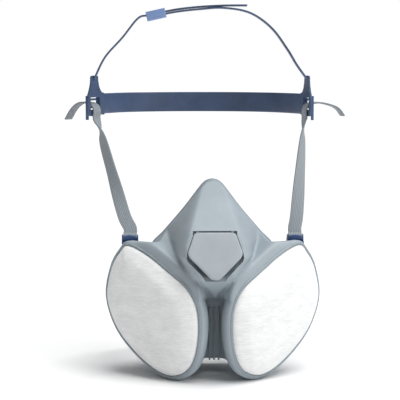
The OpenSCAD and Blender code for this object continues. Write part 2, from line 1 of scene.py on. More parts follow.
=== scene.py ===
# %% [markdown]
# # A half mask for spray painting, built round its frame
#
# The mask is a soft grey moulding that carries two white filter pads, an exhalation valve
# under a small shield, and a blue head harness on grey elastic tapes. The frame brings every
# piece's place and motion, so this lesson only gives each piece its true skin and finish.
# All lengths are written in millimetres and turned to metres in one place.

# %% Load the frame
import json
import math

import bpy
import numpy as np
from mathutils import Matrix, Vector

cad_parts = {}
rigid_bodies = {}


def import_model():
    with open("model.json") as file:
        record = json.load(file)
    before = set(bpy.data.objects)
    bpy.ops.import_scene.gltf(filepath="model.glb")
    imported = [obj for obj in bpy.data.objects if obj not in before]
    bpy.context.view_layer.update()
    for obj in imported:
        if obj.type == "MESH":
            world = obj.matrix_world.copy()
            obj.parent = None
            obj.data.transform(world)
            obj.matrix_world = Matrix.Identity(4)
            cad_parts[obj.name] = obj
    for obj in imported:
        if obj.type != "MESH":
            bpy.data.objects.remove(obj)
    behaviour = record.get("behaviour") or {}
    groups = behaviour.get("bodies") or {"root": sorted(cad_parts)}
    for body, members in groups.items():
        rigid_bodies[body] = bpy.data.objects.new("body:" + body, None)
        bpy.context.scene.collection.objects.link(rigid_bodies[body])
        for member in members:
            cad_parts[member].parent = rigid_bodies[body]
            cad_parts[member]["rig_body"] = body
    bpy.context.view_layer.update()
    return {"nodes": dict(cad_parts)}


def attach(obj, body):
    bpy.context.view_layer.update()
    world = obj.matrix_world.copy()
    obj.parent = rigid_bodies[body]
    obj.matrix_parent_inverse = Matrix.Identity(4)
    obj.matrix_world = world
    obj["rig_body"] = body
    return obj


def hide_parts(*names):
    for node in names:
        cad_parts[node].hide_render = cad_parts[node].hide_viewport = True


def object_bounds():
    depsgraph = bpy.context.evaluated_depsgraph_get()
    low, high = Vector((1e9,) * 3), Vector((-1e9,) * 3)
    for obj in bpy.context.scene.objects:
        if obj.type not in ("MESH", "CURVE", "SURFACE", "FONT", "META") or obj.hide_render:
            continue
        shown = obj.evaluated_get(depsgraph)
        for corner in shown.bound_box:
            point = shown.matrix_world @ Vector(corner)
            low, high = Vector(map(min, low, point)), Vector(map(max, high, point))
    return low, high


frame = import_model()
MM = 0.001

# %% [markdown]
# ## The camera
#
# A long lens from about a metre away keeps the two sides of the mask equally large. The
# camera stands a little to the left and looks slightly down, so the top of the head band's
# left plate shows its inner face.

# %% Camera
LENS = 119.5
CAMERA_AT = (-35, -1000, 170)
LOOK_DOWN = math.radians(5.8)
LOOK_RIGHT = math.radians(1.491)
camera_data = bpy.data.cameras.new("camera")
camera_data.lens = LENS
camera_data.clip_end = 20
camera = bpy.data.objects.new("camera", camera_data)
bpy.context.scene.collection.objects.link(camera)
camera.location = Vector(CAMERA_AT) * MM
camera.rotation_euler = (math.pi / 2 - LOOK_DOWN, 0, -LOOK_RIGHT)
bpy.context.scene.camera = camera
bpy.context.scene.view_settings.view_transform = "Standard"
print("camera looks down", round(math.degrees(LOOK_DOWN), 1), "degrees")

# %% [markdown]
# ## Tools of the bench
#
# Most skins here start as a flat grid. Its rows and columns are laid onto the form, like a
# sheet wrapped round a pattern, and the meeting edges are then merged and closed. The rest
# are solids cut from the same outlines that the frame uses.

# %% Selecting
def only(*objects):
    """Leaves just these objects selected, the last one active."""
    bpy.ops.object.select_all(action="DESELECT")
    for o in objects:
        o.select_set(True)
    bpy.context.view_layer.objects.active = objects[-1]
    return objects[-1]


def in_edit(o, *steps):
    """Runs edit-mode steps on everything in one object."""
    only(o)
    bpy.ops.object.mode_set(mode="EDIT")
    bpy.ops.mesh.select_all(action="SELECT")
    for step in steps:
        step()
    bpy.ops.object.mode_set(mode="OBJECT")
    return o


def finish_with(o, kind, **settings):
    """Adds a modifier, sets it and applies it."""
    only(o)
    m = o.modifiers.new(kind.lower(), kind)
    for key, value in settings.items():
        setattr(m, key, value)
    bpy.ops.object.modifier_apply(modifier=m.name)
    return o


def smooth(o, angle=40):
    only(o)
    bpy.ops.object.shade_smooth_by_angle(angle=math.radians(angle))
    return o


def triangles(o):
    return sum(len(p.vertices) - 2 for p in o.data.polygons)


# %% Sheets wrapped onto a form
def wrapped(name, points, tube=True, closed_ends=True, looped=False, lay=None):
    """A grid laid onto points[row, column], in mm; a tube closes round, a looped one both ways.
    lay gives each column's place across and each row's place along, in mm, for a weave."""
    points = np.asarray(points, float)
    if tube:
        points = np.concatenate([points, points[:, :1]], axis=1)
    if looped:
        points = np.concatenate([points, points[:1]], axis=0)
    rows, columns = points.shape[:2]
    bpy.ops.object.select_all(action="DESELECT")
    bpy.ops.mesh.primitive_grid_add(x_subdivisions=columns - 1, y_subdivisions=rows - 1, size=1)
    sheet = bpy.context.object
    sheet.name = sheet.data.name = name
    sheet.data.vertices.foreach_set("co", (points.reshape(-1, 3) * MM).ravel())
    sheet.data.update()
    if lay is not None:
        across, along = (np.append(v, v[0] if k == 0 else v[-1]) for k, v in enumerate(lay))
        corner = np.empty(len(sheet.data.loops), int)
        sheet.data.loops.foreach_get("vertex_index", corner)
        uv = np.stack([across[corner % columns], along[corner // columns]], 1) * MM
        sheet.data.uv_layers.active.data.foreach_set("uv", uv.ravel())

    def close():
        bpy.ops.mesh.remove_doubles(threshold=1e-7)
        if closed_ends and not looped:
            bpy.ops.mesh.select_all(action="DESELECT")
            bpy.ops.mesh.select_mode(type="EDGE")
            bpy.ops.mesh.select_non_manifold(extend=False)
            bpy.ops.mesh.fill_holes(sides=0)
        bpy.ops.mesh.select_mode(type="VERT")
        bpy.ops.mesh.select_all(action="SELECT")
        bpy.ops.mesh.normals_make_consistent(inside=False)

    return in_edit(sheet, close)


def joined(name, *pieces):
    whole = only(*pieces)
    bpy.ops.object.join()
    whole.name = whole.data.name = name
    return whole


def cut(o, *cutters):
    """Cuts the cutters out of an object, then throws them away."""
    for c in cutters:
        finish_with(o, "BOOLEAN", operation="DIFFERENCE", solver="EXACT", object=c)
        bpy.data.objects.remove(c)
    return o


def mirrored(o, name):
    """The left-hand copy of a right-hand piece."""
    only(o)
    bpy.ops.object.duplicate()
    twin = bpy.context.object
    twin.name = twin.data.name = name
    twin.data.transform(Matrix.Scale(-1, 4, (1, 0, 0)))
    return in_edit(twin, lambda: bpy.ops.mesh.flip_normals())


# %% Smooth curves through a few points
def spline(points, steps, closed=False):
    """A smooth curve through the points, with this many steps between neighbours."""
    p = np.asarray(points, float)
    n = len(p)
    spans = n if closed else n - 1
    out = []
    for i in range(spans):
        at = [(i + k - 1) % n if closed else min(max(i + k - 1, 0), n - 1) for k in range(4)]
        a, b, c, d = p[at]
        for t in np.arange(steps) / steps:
            out.append(0.5 * (2 * b + (c - a) * t + (2 * a - 5 * b + 4 * c - d) * t * t
                              + (3 * b - a - 3 * c + d) * t ** 3))
    if not closed:
        out.append(p[-1])
    return np.array(out)


def soft_min(a, b, k):
    return -k * np.logaddexp(-a / k, -b / k)


def soft_max(a, b, k):
    return k * np.logaddexp(a / k, b / k)


def above(v, k):
    return soft_max(v, 0 * v, k)


# %% [markdown]
# ## Finishes
#
# Each finish starts from its real material: what it is, how its surface was made and what
# that gives the eye. Patterns are sized in millimetres. Woven tape reads the layout along
# the strap, and everything else reads the piece's own coordinates.

# %% Colours and nodes
def linear(code):
    """An sRGB hex colour as the linear values that shaders use."""
    parts = [int(code[k:k + 2], 16) / 255 for k in (1, 3, 5)]
    return tuple(v / 12.92 if v <= 0.04045 else ((v + 0.055) / 1.055) ** 2.4 for v in parts) + (1.0,)


def add_node(tree, kind, settings=(), inputs=()):
    """Adds one node, sets it, and fills or links its inputs."""
    n = tree.nodes.new(kind)
    for key, value in dict(settings).items():
        setattr(n, key, value)
    for key, value in dict(inputs).items():
        if isinstance(value, bpy.types.NodeSocket):
            tree.links.new(value, n.inputs[key])
        else:
            n.inputs[key].default_value = value
    return n


def finish(name, **shader):
    """A new finish: its node tree, and its shader with these fixed values."""
    made = bpy.data.materials.new(name)
    made.use_nodes = True
    tree = made.node_tree
    skin = tree.nodes["Principled BSDF"]
    for key, value in shader.items():
        skin.inputs[key.replace("_", " ")].default_value = value
    return made, tree, skin


def size(mm):
    """A noise scale whose grains are this many millimetres across."""
    return 1 / (mm * MM)


def blend_colours(tree, share, first, second):
    mix = add_node(tree, "ShaderNodeMix", {"data_type": "RGBA"})
    tree.links.new(share, mix.inputs["Factor"])
    mix.inputs["A"].default_value = linear(first)
    mix.inputs["B"].default_value = linear(second)
    return mix.outputs["Result"]


def bump(tree, skin, height, strength, depth_mm, under=None):
    """Raises the surface by a height pattern, on top of another bump if one is given."""
    inputs = {"Strength": strength, "Distance": depth_mm * MM, "Height": height}
    if under is not None:
        inputs["Normal"] = under
    n = add_node(tree, "ShaderNodeBump", (), inputs)
    tree.links.new(n.outputs["Normal"], skin.inputs["Normal"])
    return n.outputs["Normal"]


def spread(tree, value, low, high, to_low=0.0, to_high=1.0):
    """Stretches the span from low to high over another span, and clips what lies outside."""
    return add_node(tree, "ShaderNodeMapRange", {"clamp": True}, {
        "Value": value, "From Min": low, "From Max": high,
        "To Min": to_low, "To Max": to_high}).outputs["Result"]


def noise(tree, coordinates, mm, detail=3.0, roughness=0.55, stretch=None):
    """Noise with grains of a size in mm; a stretch below 1 draws them out along that axis."""
    vector = coordinates
    if stretch is not None:
        turned = add_node(tree, "ShaderNodeMapping", (), {"Vector": coordinates, "Scale": stretch})
        vector = turned.outputs["Vector"]
    return add_node(tree, "ShaderNodeTexNoise", (), {
        "Vector": vector, "Scale": size(mm), "Detail": detail, "Roughness": roughness}).outputs["Fac"]


# %% Moulded elastomer
# Thermoplastic elastomer from an eroded steel mould: a fine matt grain, broad soft
# highlights, and a faint cloudiness where the melt flowed.
def elastomer(name, light, dark, roughness, grain_mm=0.45, grain_depth=0.03):
    made, tree, skin = finish(name, IOR=1.49, Specular_IOR_Level=0.45)
    place = add_node(tree, "ShaderNodeTexCoord").outputs["Object"]
    cloud = noise(tree, place, 22, 3)
    tree.links.new(blend_colours(tree, spread(tree, cloud, 0.3, 0.7), light, dark), skin.inputs["Base Color"])
    speck = noise(tree, place, grain_mm * 2, 2)
    dull = spread(tree, speck, 0.3, 0.7, roughness - 0.05, roughness + 0.07)
    tree.links.new(dull, skin.inputs["Roughness"])
    ripple = bump(tree, skin, noise(tree, place, 9, 2), 0.25, 0.12)
    bump(tree, skin, noise(tree, place, grain_mm, 3), 0.35, grain_depth, ripple)
    return made


body_finish = elastomer("moulded grey elastomer", "#9aa4ab", "#8f9aa1", 0.52)
lip_finish = elastomer("soft lip elastomer", "#8f9aa3", "#848f98", 0.4, 0.6, 0.02)
edge_finish = elastomer("clamping edge elastomer", "#8d989f", "#838e95", 0.46)
shield_finish = elastomer("shield elastomer", "#a3abb1", "#989fa5", 0.55, 0.4, 0.035)
harness_finish = elastomer("blue harness elastomer", "#405373", "#34445f", 0.42, 0.5, 0.03)
print("elastomers:", [m.name for m in (body_finish, lip_finish, edge_finish, shield_finish, harness_finish)])


# %% Needled felt
# White polyester fibres, needled and pressed: thousands of fine hairs that lie mostly
# across the pad. It scatters light softly and shows faint streaks and small dimples.
def felt(name, light, dark):
    made, tree, skin = finish(name, IOR=1.45, Roughness=0.93, Specular_IOR_Level=0.15, Sheen_Weight=0.25,
                              Sheen_Roughness=0.6)
    place = add_node(tree, "ShaderNodeTexCoord").outputs["Object"]
    hairs = noise(tree, place, 0.9, 5, 0.7, (0.16, 0.16, 1.0))
    mats = noise(tree, place, 6.5, 4, 0.6, (0.45, 0.45, 1.0))
    both = add_node(tree, "ShaderNodeMath", {"operation": "MULTIPLY_ADD"}, {0: hairs, 1: 0.6})
    half = add_node(tree, "ShaderNodeMath", {"operation": "MULTIPLY"}, {0: mats, 1: 0.4})
    tree.links.new(half.outputs[0], both.inputs[2])
    share = spread(tree, both.outputs[0], 0.36, 0.64)
    tree.links.new(blend_colours(tree, share, dark, light), skin.inputs["Base Color"])
    soft = bump(tree, skin, mats, 0.5, 0.5)
    bump(tree, skin, hairs, 0.6, 0.28, soft)
    return made


pad_finish = felt("needled white polyester felt", "#efefee", "#dadcdd")
media_finish = felt("electret filter felt", "#e9ebea", "#d9dcdb")
print("felts:", pad_finish.name, "and", media_finish.name)


# %% Woven elastic
# Rubber cores wrapped in grey yarn: lengthwise ribs about a millimetre apart, crossed by
# the finer weft, with a flat selvedge at each edge. Set a little coarser than life.
def woven(name, light, dark, rib_mm=1.25, weft_mm=0.85):
    made, tree, skin = finish(name, IOR=1.5, Roughness=0.78, Specular_IOR_Level=0.25, Sheen_Weight=0.3,
                              Sheen_Roughness=0.45)
    lay = add_node(tree, "ShaderNodeUVMap").outputs["UV"]
    ribs = add_node(tree, "ShaderNodeTexWave", {"bands_direction": "X", "wave_profile": "SIN"}, {
        "Vector": lay, "Scale": size(rib_mm) * math.pi / 10, "Distortion": 0.0}).outputs["Fac"]
    wefts = add_node(tree, "ShaderNodeTexWave", {"bands_direction": "Y", "wave_profile": "SIN"}, {
        "Vector": lay, "Scale": size(weft_mm) * math.pi / 10, "Distortion": 0.4, "Detail": 1.0,
        "Detail Scale": 2.0}).outputs["Fac"]
    fuzz = noise(tree, lay, 0.7, 3, 0.6)
    ribbed = add_node(tree, "ShaderNodeMath", {"operation": "MULTIPLY_ADD"}, {0: wefts, 1: 0.35, 2: 0.0})
    tree.links.new(ribs, ribbed.inputs[2])
    share = add_node(tree, "ShaderNodeMath", {"operation": "MULTIPLY_ADD"}, {0: fuzz, 1: 0.6, 2: 0.0})
    half = add_node(tree, "ShaderNodeMath", {"operation": "MULTIPLY"}, {0: ribbed.outputs[0], 1: 0.52})
    tree.links.new(half.outputs[0], share.inputs[2])
    tree.links.new(blend_colours(tree, spread(tree, share.outputs[0], 0.25, 0.95), dark, light),
                   skin.inputs["Base Color"])
    bump(tree, skin, ribbed.outputs[0], 0.7, 0.22)
    return made


tape_finish = woven("grey woven elastic", "#979fa5", "#71797f")
print("weave:", tape_finish.name)


# %% Hard plastics
# Acetal and polypropylene from polished moulds: even colour, a satin skin with the very
# fine orange peel of the mould, and small scuffs that break up the highlight.
def moulding(name, light, dark, roughness, coat=0.0):
    made, tree, skin = finish(name, IOR=1.48, Coat_Weight=coat, Coat_Roughness=0.25)
    place = add_node(tree, "ShaderNodeTexCoord").outputs["Object"]
    cloud = noise(tree, place, 12, 2)
    tree.links.new(blend_colours(tree, spread(tree, cloud, 0.3, 0.7), light, dark), skin.inputs["Base Color"])
    scuff = noise(tree, place, 1.6, 4, 0.65, (1.0, 0.35, 1.0))
    dull = spread(tree, scuff, 0.35, 0.75, roughness - 0.04, roughness + 0.12)
    tree.links.new(dull, skin.inputs["Roughness"])
    bump(tree, skin, noise(tree, place, 0.6, 2), 0.3, 0.02)
    return made


blue_finish = moulding("blue acetal", "#3a5480", "#2e466c", 0.34, 0.15)
slide_finish = moulding("pale blue acetal", "#7c93bf", "#6c84b2", 0.36, 0.15)
seat_finish = moulding("grey polypropylene", "#737e85", "#68737a", 0.42)
clasp_finish = moulding("dark grey acetal", "#4f585e", "#454e54", 0.38)
print("hard plastics:", [m.name for m in (blue_finish, slide_finish, seat_finish, clasp_finish)])


# %% Valve rubber and charcoal
def thin_rubber(name):
    """Natural rubber sheet: amber, slightly translucent, dusted so that it doesn't stick."""
    made, tree, skin = finish(name, IOR=1.52, Subsurface_Weight=0.15, Subsurface_Scale=0.001)
    place = add_node(tree, "ShaderNodeTexCoord").outputs["Object"]
    dust = noise(tree, place, 3.2, 4, 0.65)
    dusted = blend_colours(tree, spread(tree, dust, 0.35, 0.7), "#b9a268", "#cdbb8c")
    tree.links.new(dusted, skin.inputs["Base Color"])
    tree.links.new(spread(tree, dust, 0.3, 0.7, 0.38, 0.6), skin.inputs["Roughness"])
    bump(tree, skin, noise(tree, place, 0.8, 2), 0.2, 0.02)
    return made


def granules(name):
    """Activated charcoal: matt black grains, a millimetre or so across, loosely bound."""
    made, tree, skin = finish(name, IOR=1.6, Specular_IOR_Level=0.3)
    place = add_node(tree, "ShaderNodeTexCoord").outputs["Object"]
    cells = add_node(tree, "ShaderNodeTexVoronoi", {"feature": "F1"}, {"Vector": place, "Scale": size(1.4)})
    black = blend_colours(tree, spread(tree, cells.outputs["Distance"], 0.1, 0.8), "#3c3e40", "#161718")
    tree.links.new(black, skin.inputs["Base Color"])
    tree.links.new(spread(tree, cells.outputs["Distance"], 0.0, 0.8, 0.55, 0.9), skin.inputs["Roughness"])
    hill = add_node(tree, "ShaderNodeMath", {"operation": "SUBTRACT"}, {0: 1.0, 1: cells.outputs["Distance"]})
    bump(tree, skin, hill.outputs[0], 0.8, 0.5)
    return made


valve_finish = thin_rubber("amber valve rubber")
charcoal_finish = granules("activated charcoal grains")


def dress(made, *pieces):
    """Gives pieces one finish all over."""
    for o in pieces:
        o.data.materials.clear()
        o.data.materials.append(made)


# %% Finishes of the frame's own nodes
nodes = frame["nodes"]
INNER = {"particle_layer": media_finish, "carbon_bed": charcoal_finish, "support_grid": seat_finish,
         "inhalation_seat": seat_finish, "inhalation_valve": valve_finish}
for part, made in INNER.items():
    dress(made, nodes["right_" + part], nodes["left_" + part])
dress(seat_finish, nodes["exhalation_seat"])
dress(valve_finish, nodes["exhalation_valve"])
print("finishes:", len(bpy.data.materials))

# %% [markdown]
# ## Where the filters stand
#
# Each filter has a plane of its own, turned out by the frame's yaw. A point of that plane is
# given across, up and out of it. The pad's outline is one smooth closed curve in it.

# %% The filter's plane
YAW = math.radians(38.3)
PAD_MIDDLE = np.array([12 + 42 * math.cos(YAW), -76 + 42 * math.sin(YAW), -6.6])
PAD_OUTLINE = [[22, 46], [4, 40.5], [-15, 30], [-33, 18.5], [-42, 3], [-42, -20], [-35, -38],
               [-20, -46.2], [-3, -43.5], [18, -31], [34, -15], [42.3, 6], [38, 27.5], [30, 40]]
pad_curve = spline(PAD_OUTLINE, 12, closed=True)
ACROSS = np.array([math.cos(YAW), math.sin(YAW), 0])
OUT = np.array([math.sin(YAW), -math.cos(YAW), 0])
UP = np.array([0, 0, 1.0])


def on_filter(u, v, out):
    u, v, out = (np.asarray(w, float)[..., None] for w in (u, v, out))
    return PAD_MIDDLE + u * ACROSS + v * UP + out * OUT


def pad_edge(grow, slide=0.0):
    """The pad's outline grown outwards along its own normals and shifted outboard."""
    ahead = np.roll(pad_curve, -1, 0) - np.roll(pad_curve, 1, 0)
    normal = np.stack([ahead[:, 1], -ahead[:, 0]], 1) / np.linalg.norm(ahead, axis=1)[:, None]
    ring = pad_curve - normal * grow if signed_area(pad_curve) < 0 else pad_curve + normal * grow
    return ring + [slide, 0]


def signed_area(p):
    q = np.roll(p, -1, 0)
    return 0.5 * np.sum(p[:, 0] * q[:, 1] - q[:, 0] * p[:, 1])


def scaled_edge(grow, slide=0.0):
    """The pad's outline grown from its middle, which suits large insets."""
    r = np.linalg.norm(pad_curve, axis=1)[:, None]
    return pad_curve * (1 + grow / r) + [slide, 0]


def filter_ring(ring, out):
    return on_filter(ring[:, 0], ring[:, 1], np.full(len(ring), float(out)))


def beyond_pad(u, v):
    """How far outside the pad's outline a point of its plane is; negative inside."""
    p = np.stack([u.ravel(), v.ravel()], 1)
    a, b = pad_curve, np.roll(pad_curve, -1, 0)
    best = np.full(len(p), 1e9)
    inside = np.zeros(len(p), bool)
    for s, e in zip(a, b):
        edge = e - s
        t = np.clip(((p - s) @ edge) / (edge @ edge), 0, 1)
        best = np.minimum(best, np.linalg.norm(p - s - t[:, None] * edge, axis=1))
        crosses = (s[1] > p[:, 1]) != (e[1] > p[:, 1])
        if s[1] != e[1]:
            at = s[0] + (p[:, 1] - s[1]) * edge[0] / edge[1]
            inside ^= crosses & (p[:, 0] < at)
    return np.where(inside, -best, best).reshape(np.shape(u))


print("pad outline:", len(pad_curve), "points, area in cm2", round(abs(signed_area(pad_curve)) / 100, 1))

# %% [markdown]
# ## The moulded body
#
# The real body is one soft moulding, cast in a closed tool: a nose cone with a flat front
# panel, a block that holds the exhalation valve, a lobe behind each filter pad, and a lapel
# that rolls from each lobe into the valley beside the valve. Such a skin has no flat places
# to extrude from. Here its front is a grid laid onto the form, and the lobes are wrapped
# rings. A voxel remesh melts them into one skin, and smoothing rolls the edges where they
# meet. Recesses and ports are cut afterwards, so that their edges stay crisp.

# %% The front of the nose cone and of the valve block
HOOD_AT = (-66.0, 51.6)          # top edge of the valve shield, y and z
HOOD_LEAN = math.radians(30.5)
NOSE_TOP = 86.0
PANEL_FOOT = 34                  # height at which the front panel is widest
PANEL_HALF = 20.8
SEAT_FLOOR = 5.6                 # the valve's floor behind the shield's face


def panel_half(z):
    """Half the width of the flat front panel at a height."""
    nose = np.minimum(PANEL_HALF, 6.5 + (NOSE_TOP - z) * 0.33)
    return np.where(z > PANEL_FOOT, nose, np.maximum(0.6, PANEL_HALF - (PANEL_FOOT - z) * 0.72))


def block_front(x, z):
    """The front of the nose and valve block, y at each x and z; it sinks round the shield."""
    beside = np.abs(x)
    nose = HOOD_AT[0] + 1.5 * (z - HOOD_AT[1])
    below = (HOOD_AT[1] - z) / math.cos(HOOD_LEAN)
    sink = 1.8 / (1 + np.exp(-(below - 21) / 3.2)) + 5.2 / (1 + np.exp(-(below - 41.5) / 1.8))
    valve = HOOD_AT[0] - math.tan(HOOD_LEAN) * (HOOD_AT[1] - z) + sink / math.cos(HOOD_LEAN)
    under = -80.5 + 1.15 * (20 - z)
    ridge = soft_max(soft_max(nose, valve, 0.7), under, 1.6)
    half = panel_half(z)
    shoulder = 1.5 * above(beside - half, 0.25) + 2.3 * above(beside - half - 3.0, 0.6)
    return ridge + 0.003 * beside ** 2 + shoulder


print("front panel half width, mm:", [round(float(panel_half(z)), 1) for z in (80, 50, 20)])


# %% The lapels, and the whole front
WING_TOP = 42.2


def lapel_front(x, z):
    """The lapel rolls from the pad's plane down into the valley; wider above, narrow below."""
    beside = np.abs(x)
    u = (beside - PAD_MIDDLE[0]) / math.cos(YAW)
    d = beyond_pad(u, z - PAD_MIDDLE[2])
    wide = 2.2 + 7.2 / (1 + np.exp(-(z - 6) / 5))
    fall = 0.16 * above(d - 2.4, 0.6) + 2.6 * above(d - wide, 0.8)
    plane = PAD_MIDDLE[1] + math.tan(YAW) * (beside - PAD_MIDDLE[0])
    return plane + (fall - 0.2) / math.cos(YAW) + 0.5 * above(z - 39.5, 0.8)


def front_skin(x, z):
    """The whole front: block and lapels melted, held between the cheeks and the groove."""
    groove = -48 - 4 * above(np.abs(x) - 6.5, 0.7) - 3 * above(z, 1.5)
    cheek = -57.2 + math.tan(YAW) * np.abs(x) + 3 * above(z - 39, 1)
    front = soft_min(block_front(x, z), lapel_front(x, z), 2.2)
    front = soft_max(soft_min(front, cheek, 1.0), groove, 1.0)
    return front + 4.5 * above(-42.5 - z, 0.6)


print("groove floor, y in mm:", round(float(front_skin(np.zeros(1), np.full(1, -20.0))[0]), 1))


# %% The cup, from the front skin back to the edge where the seal begins
EDGE_Z = [-50, -47, -34, -12, 12, 34, 46, 63, 78, 82.2, 84.0, 84.6]
EDGE_HALF = [0.5, 20, 41.6, 50, 52, 46.3, 35.9, 21.5, 10.1, 6.3, 3.3, 0.5]
EDGE_BACK = [-15, -13, -9, -6, -6, -7, -8, -10, -11, -11, -11, -11]
right_edge = spline([[h, b, z] for h, b, z in zip(EDGE_HALF, EDGE_BACK, EDGE_Z)], 16)


def outline_half(z):
    return np.interp(z, right_edge[:, 2], right_edge[:, 0])


def edge_back(z):
    return np.interp(z, right_edge[:, 2], right_edge[:, 1])


def bread(name, rows_z, half, front, back, columns):
    """A solid between a front and a back skin, cut into rows, each as wide as the outline."""
    crowd = math.pi / 2 * 0.92                 # columns crowd towards both edges
    t = np.sin(np.linspace(-1, 1, columns) * crowd) / math.sin(crowd)
    rings = []
    for z in rows_z:
        x = t * half(z)
        zz = np.full(columns, z)
        f, b = front(x, zz), back(x, zz)
        b = np.maximum(b, f + 0.8)
        rings.append(np.concatenate([np.stack([x, f, zz], 1), np.stack([x, b, zz], 1)[::-1]]))
    return wrapped(name, rings)


grain = 0.85        # voxel of the melt
rows = np.concatenate([np.linspace(-49.6, 83.8, 150), [84.2, 84.5]])
cup = bread("mask_body", rows, outline_half, front_skin, lambda x, z: edge_back(z), 141)
print("cup:", triangles(cup), "triangles")

# %% The lobes behind the pads, and the wings that reach up to the strap clips
LOBE = [(2.0, 0.0, 0.35), (2.9, -0.2, -1.4), (2.8, -0.4, -4), (2.0, 0.2, -8), (-0.2, 1.6, -13),
        (-3.4, 3.2, -18), (-6.6, 4.4, -21.2), (-10.5, 5, -22.4)]
lobe_steps = spline(LOBE, 4)
lobe = wrapped("lobe", [filter_ring(scaled_edge(g, s), o) for g, s, o in lobe_steps])
lobe_left = mirrored(lobe, "lobe_left")


WING_FOOT, WING_INNER, WING_THICK = 8, 18, 5.5


def wing_half(z):
    return np.interp(z, [WING_FOOT, 20, 36, WING_TOP], [50, 54, 60, 60.5])


wing_rows = np.linspace(WING_FOOT, WING_TOP, 60)
t = np.linspace(0, 1, 60)
wing_rings = []
for z in wing_rows:
    x = WING_INNER + t * (wing_half(z) - WING_INNER)
    zz = np.full(len(x), z)
    f = soft_min(lapel_front(x, zz), block_front(x, zz), 2.2)
    wing_rings.append(np.concatenate([np.stack([x, f, zz], 1), np.stack([x, f + WING_THICK, zz], 1)[::-1]]))
wing = wrapped("wing", wing_rings)
wing_left = mirrored(wing, "wing_left")
print("lobe and wing:", triangles(lobe), "and", triangles(wing), "triangles")

# %% Melt them into one skin
body = joined("mask_body", lobe, lobe_left, wing, wing_left, cup)
body.data.remesh_voxel_size = grain * MM
body.data.remesh_voxel_adaptivity = 0
only(body)
bpy.ops.object.voxel_remesh()
finish_with(body, "SMOOTH", factor=0.5, iterations=6)
print("melted body:", triangles(body), "triangles")

# %% [markdown]
# ## The body's cavities
#
# The wearer's face fills the cup, and each lobe is a tray for its filter. Their insides are
# solids of their own, laid out like the outside and a wall smaller, and booleans cut them
# away. Round ports and the valve's seat are plain bars cut along the same directions as in
# the frame, so that its valves and seats sit in them.

# %% The inside of the cup, and of each tray
CUP_SHRINK = 0.955
CUP_WALL = 2.4
CUP_MIDDLE = 15                  # height about which the cup shrinks


def inner_front(x, z):
    """The cup's inner skin: the frame's own front, a wall further back."""
    x, z = x / CUP_SHRINK, CUP_MIDDLE + (z - CUP_MIDDLE) / CUP_SHRINK
    beside = np.abs(x)
    nose = HOOD_AT[0] + 1.5 * (z - HOOD_AT[1])
    lean = math.tan(HOOD_LEAN)
    valve = HOOD_AT[0] - lean * (HOOD_AT[1] - z) + SEAT_FLOOR / math.cos(HOOD_LEAN)
    under = -76 + 0.93 * (20 - z)
    ridge = soft_max(soft_max(nose, valve, 1), under, 3)
    nose_half = np.minimum(PANEL_HALF, 6.5 + (NOSE_TOP - z) * 0.33)
    half = np.where(z > PANEL_FOOT, nose_half, np.maximum(0, (z - 5) * 0.69))
    ridge = ridge + 3.5 * above(beside - half, 1)
    cheek = -57.1 + math.tan(YAW) * beside + 3 * above(z - 39, 1)
    groove = -48 - 4 * above(beside - 7, 0.7) - 3 * above(z, 1.5)
    return soft_max(soft_min(ridge, cheek, 1), groove, 1) + CUP_WALL


def inner_half(z):
    return outline_half(CUP_MIDDLE + (z - CUP_MIDDLE) / CUP_SHRINK) * CUP_SHRINK


inner_rows = np.linspace(-46.6, 82.6, 110)
hollow = bread("hollow", inner_rows, inner_half, inner_front, lambda x, z: 0 * x + 25, 101)
TRAY_HOLLOW = [(-0.5, 0, 8), (-0.5, 0, -3), (-1.5, 1, -7.4), (-4.2, 2.5, -13.3), (-7.3, 4, -17.9),
               (-9.7, 5, -20.3)]
tray_hollow = wrapped("tray_hollow", [filter_ring(scaled_edge(g, s), o) for g, s, o in TRAY_HOLLOW])
print("cup's inside:", triangles(hollow), "triangles")


# %% Ports and the valve's seat
def cylinder(name, middle, along, diameter, length, sides=64):
    """A round bar centred on a point, in mm, lying along a direction."""
    bpy.ops.object.select_all(action="DESELECT")
    turn = Vector(along).to_track_quat("Z", "Y").to_matrix().to_4x4()
    bpy.ops.mesh.primitive_cylinder_add(vertices=sides, radius=diameter / 2 * MM, depth=length * MM)
    bar = bpy.context.object
    bar.name = bar.data.name = name
    bar.data.transform(Matrix.Translation(Vector(middle) * MM) @ turn)
    return bar


HOOD_UP = np.array([0, math.sin(HOOD_LEAN), math.cos(HOOD_LEAN)])
HOOD_OUT = np.array([0, -math.cos(HOOD_LEAN), math.sin(HOOD_LEAN)])


def on_hood(x, up, out):
    """A point of the shield's own plane: across, up from its top edge, and out of its face."""
    return np.array([x, HOOD_AT[0], HOOD_AT[1]]) + up * HOOD_UP + out * HOOD_OUT


VALVE_MIDDLE = -17
PORT_D, PORT_L = 26, 24
OUTLET_D, OUTLET_L = 26.4, 30
WELL_D, WELL_L, WELL_FLOOR = 31.4, 12, -6.4
port = cylinder("port", on_filter(-6, -1.4, -24), OUT, PORT_D, PORT_L)
port_left = mirrored(port, "port_left")
outlet = cylinder("outlet", on_hood(0, VALVE_MIDDLE, -5), HOOD_OUT, OUTLET_D, OUTLET_L)
seat_well = cylinder("seat_well", on_hood(0, VALVE_MIDDLE, WELL_FLOOR + WELL_L / 2), HOOD_OUT, WELL_D, WELL_L)
print("ports of", PORT_D, "mm, outlet of", OUTLET_D, "mm")


